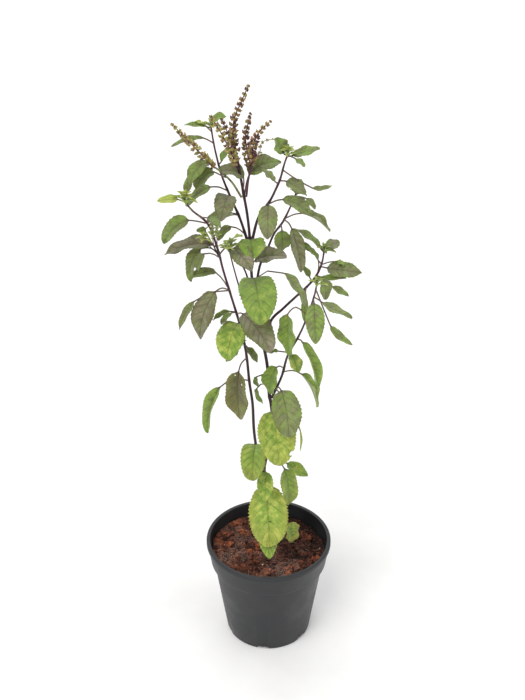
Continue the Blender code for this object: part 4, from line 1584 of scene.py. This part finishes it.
        gone = []
        for face in bm.faces:
            away = sum((flat(*spots[vert]) for vert in face.verts if vert in spots),
                       Vector((0, 0)))
            if face.verts[0] in spots and (away / len(face.verts)).length < wound.radius:
                gone.append(face)
        rim = {vert for face in gone for vert in face.verts}
        bmesh.ops.delete(bm, geom=gone, context="FACES")
        for vert in list(rim):
            if not vert.is_valid:
                spots.pop(vert, None)
                continue
            step, s = spots[vert]
            if abs(s) == 1.0:
                continue
            away = flat(step, s)
            goal = away.normalized() * wound.radius
            t = (step - self.petiole_steps) / self.blade_steps
            half = leaf.width / 2 * max(0.1, self.outline(leaf, t))
            spots[vert] = (step + (goal.x - away.x) / leaf.length * self.blade_steps,
                           s + (goal.y - away.y) / half)

    def grow(self, bm: bmesh.types.BMesh, leaf: LeafShape, seed: str, coarse: int = 1,
             root: Vector | None = None) -> None:
        """Add one leaf to a mesh.

        Args:
            bm: the mesh to add to.
            leaf: the leaf.
            seed: names its random draws.
            coarse: 1 for a large leaf, more for a small one.
            root: where its stalk starts, or None for the stem it grows from.
        """
        draw = random.Random(seed)
        own = tuple(draw.random() for _ in range(4))
        shift = draw.uniform(-0.05, 0.05)
        tint, blade = tinted(bm), tinted(bm, "blade")
        spots = self.grid(bm, leaf, coarse)
        frames = self.frames(leaf)
        heading = math.radians(leaf.heading)
        turn = Matrix.Rotation(heading, 3, "Z")
        if root is None:
            out = Vector((math.cos(heading), math.sin(heading), 0))
            root = self.skeleton.beside(leaf.stem, leaf.height, out, self.stand_off)
        for vert, (step, s) in spots.items():
            t = (step - self.petiole_steps) / self.blade_steps
            at = min(max(step, 0.0) * self.fine_steps, len(frames) - 1.001)
            low = int(at)
            share = at - low
            place = frames[low][0].lerp(frames[low + 1][0], share)
            across = frames[low][1].lerp(frames[low + 1][1], share)
            up = frames[low][2].lerp(frames[low + 1][2], share)
            offset = self.section(leaf, t, s, own)
            vert.co = root + turn @ (place + across * offset.x + up * offset.y)
            # The mauve cast, partly the leaf's own tint and partly painted sheen, grows towards
            # the tip.
            mauve_and_sheen = leaf.mauve_and_sheen * (0.8 + 0.4 * t)
            vert[tint] = (max(0.0, leaf.ripe + shift), min(1.0, mauve_and_sheen), leaf.yellow, 1)
            phase = self.phase(leaf, t, s) if t > 0 else 0.5
            side = min(1.0, abs(s)) if t > 0 else 0.0
            vert[blade] = (max(0.0, t), side, (phase + VEIN_SHIFT) / VEIN_CODE, 1)

    def finish(self, name: str, bm: bmesh.types.BMesh, zone: LeafZone,
               node: str = "") -> bpy.types.Object:
        """Turn a mesh of leaf surfaces into a piece with a face and a back.

        Args:
            name: the piece's name.
            bm: the leaf surfaces.
            zone: where the leaves grow; not used.
            node: the CAD node it replaces, if any.

        Returns:
            The piece.
        """
        bmesh.ops.remove_doubles(bm, verts=bm.verts, dist=1e-7)
        made = piece(name, bm, [LEAF_FACE, LEAF_BACK], node, False)
        skin = made.modifiers.new("thickness", "SOLIDIFY")
        skin.thickness = self.thickness
        skin.offset = 0
        skin.material_offset = 1
        return made

    def zone(self, height: float) -> LeafZone:
        """The zone of a leaf that grows at a height."""
        if height < self.lower_top:
            return LeafZone.LOWER
        return LeafZone.MIDDLE if height < self.middle_top else LeafZone.UPPER

    def large(self, number: int, leaf: LeafShape) -> bpy.types.Object:
        """Make the leaf that replaces a CAD leaf, and see how well the two agree.

        Args:
            number: the leaf's number.
            leaf: the leaf.

        Returns:
            The piece.
        """
        node = f"leaf_{number:02d}"
        bm = bmesh.new()
        self.grow(bm, leaf, node)
        low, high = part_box(node)
        middle = (Vector(low) + Vector(high)) / 2
        mine = [vert.co for vert in bm.verts]
        centre = Vector([(min(c[axis] for c in mine) + max(c[axis] for c in mine)) / 2
                         for axis in range(3)])
        log.info("%s is %.1f mm from its solid", node, (centre - middle).length / MM)
        return self.finish(f"basil_leaf_{number:02d}", bm, self.zone(leaf.height), node)

    def small(self, stem: str, leaves: Sequence[LeafShape]) -> bpy.types.Object:
        """Make the small side leaves of one stem."""
        bm = bmesh.new()
        for index, leaf in enumerate(leaves):
            self.grow(bm, leaf, f"{stem}_{index}", 2)
        return self.finish("side_leaves_" + stem, bm, self.zone(leaves[0].height))

    def tip(self, shape: TipShape) -> bpy.types.Object:
        """Make the folded young leaves at the end of a stem."""
        draw = random.Random("tip_" + shape.stem)
        line = self.skeleton.line(shape.stem)
        end = line[-1][0]
        bm = bmesh.new()
        for index in range(shape.count):
            share = index / (shape.count - 1)
            length = shape.length * blend(1.0, 0.5, share)
            steep = blend(shape.steep, 80, share)
            heading = GOLDEN_ANGLE * index + draw.uniform(-15, 15)
            leaf = LeafShape(shape.stem, 0, heading, 1.5, length, length * 0.55, steep + 20,
                             steep, steep - 45, 0, 35, shape.ripe + draw.uniform(0, 0.15), 0.0)
            root = end + Vector((0, 0, index * shape.pace * MM - MM))
            self.grow(bm, leaf, f"{shape.stem}_{index}", 3, root)
        return self.finish("tip_" + shape.stem, bm, LeafZone.UPPER)


# Studio


@dataclass
class Studio:
    """A pale floor, soft lamps and the camera, which looks down on the plant."""

    camera_at: tuple[float, float, float] = (-0.0064, -0.927, 0.877)
    camera_pitch: float = 60.0
    lens: float = 58.1
    floor_width: float = 14.0
    lamps: tuple[tuple[str, tuple[float, float, float], float, float], ...] = (
        ("key", (-0.8, -1.2, 2.2), 35.0, 1.5),
        ("fill", (1.5, -0.6, 1.6), 60.0, 0.5),
        ("back", (-0.4, 1.8, 2.2), 60.0, 0.6),
    )
    lit_height: float = 0.3
    sky: float = 0.7

    def floor(self) -> None:
        """Lay the floor."""
        bm = bmesh.new()
        bmesh.ops.create_grid(bm, x_segments=8, y_segments=8, size=self.floor_width / 2)
        made = shown("floor", mesh_of(bm, "floor"))
        made.data.materials.append(FLOOR_PAINT.material())

    def light(self) -> None:
        """Hang the lamps and light the room evenly."""
        target = Vector((0, 0, self.lit_height))
        for name, place, softness, power in self.lamps:
            lamp = bpy.data.lights.new(name, "SUN")
            lamp.angle = math.radians(softness)
            lamp.energy = power
            made = shown(name, lamp)
            made.location = place
            made.rotation_euler = (target - Vector(place)).to_track_quat("-Z", "Y").to_euler()
        world = bpy.data.worlds.new("room")
        world.use_nodes = True
        backdrop = world.node_tree.nodes["Background"]
        backdrop.inputs["Color"].default_value = shade("#F7F8FA")
        backdrop.inputs["Strength"].default_value = self.sky
        bpy.context.scene.world = world

    def shoot(self) -> None:
        """Place the camera."""
        camera = bpy.data.cameras.new("camera")
        camera.lens = self.lens
        camera.clip_end = 50
        made = shown("camera", camera)
        made.location = self.camera_at
        made.rotation_euler = (math.radians(self.camera_pitch), 0, 0)
        bpy.context.scene.camera = made

    def build(self) -> None:
        """Set up the floor, the light and the camera."""
        self.floor()
        self.light()
        self.shoot()
        bpy.context.scene.view_settings.view_transform = "Standard"


def main() -> None:
    """Build the studio, the pot, the soil and the plant."""
    logging.basicConfig(level=logging.INFO, format="%(name)s: %(message)s")
    Studio().build()
    pot = Pot(height=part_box("pot")[1][2])
    pot.build()
    level = round(pot.height, 4) - SOIL_DEPTH
    log.info("soil surface at %.4f m", level)
    Soil(pot, level).build()
    lines = {**STEMS, **{name: spike.stalk for name, spike in SPIKES.items()},
             **SHOOTS, "spike_thin": THIN_SPIKE.stalk}
    skeleton = Skeleton(level, lines)
    stems = StemWork(skeleton)
    for name in STEMS:
        stems.build(name, name)
    for name in SHOOTS:
        stems.build(name)
    spikes = SpikeWork(skeleton, Calyx().mesh())
    for name, shape in SPIKES.items():
        spikes.build(name, shape, name)
    spikes.build("spike_thin", THIN_SPIKE)
    leaves = LeafWork(skeleton)
    for number, leaf in enumerate(LEAVES, start=1):
        leaves.large(number, leaf)
    for name in lines:
        found = [leaf for leaf in SIDE_LEAVES if leaf.stem == name]
        if found:
            leaves.small(name, found)
    for tip in TIPS:
        leaves.tip(tip)


if __name__ == "__main__":
    main()
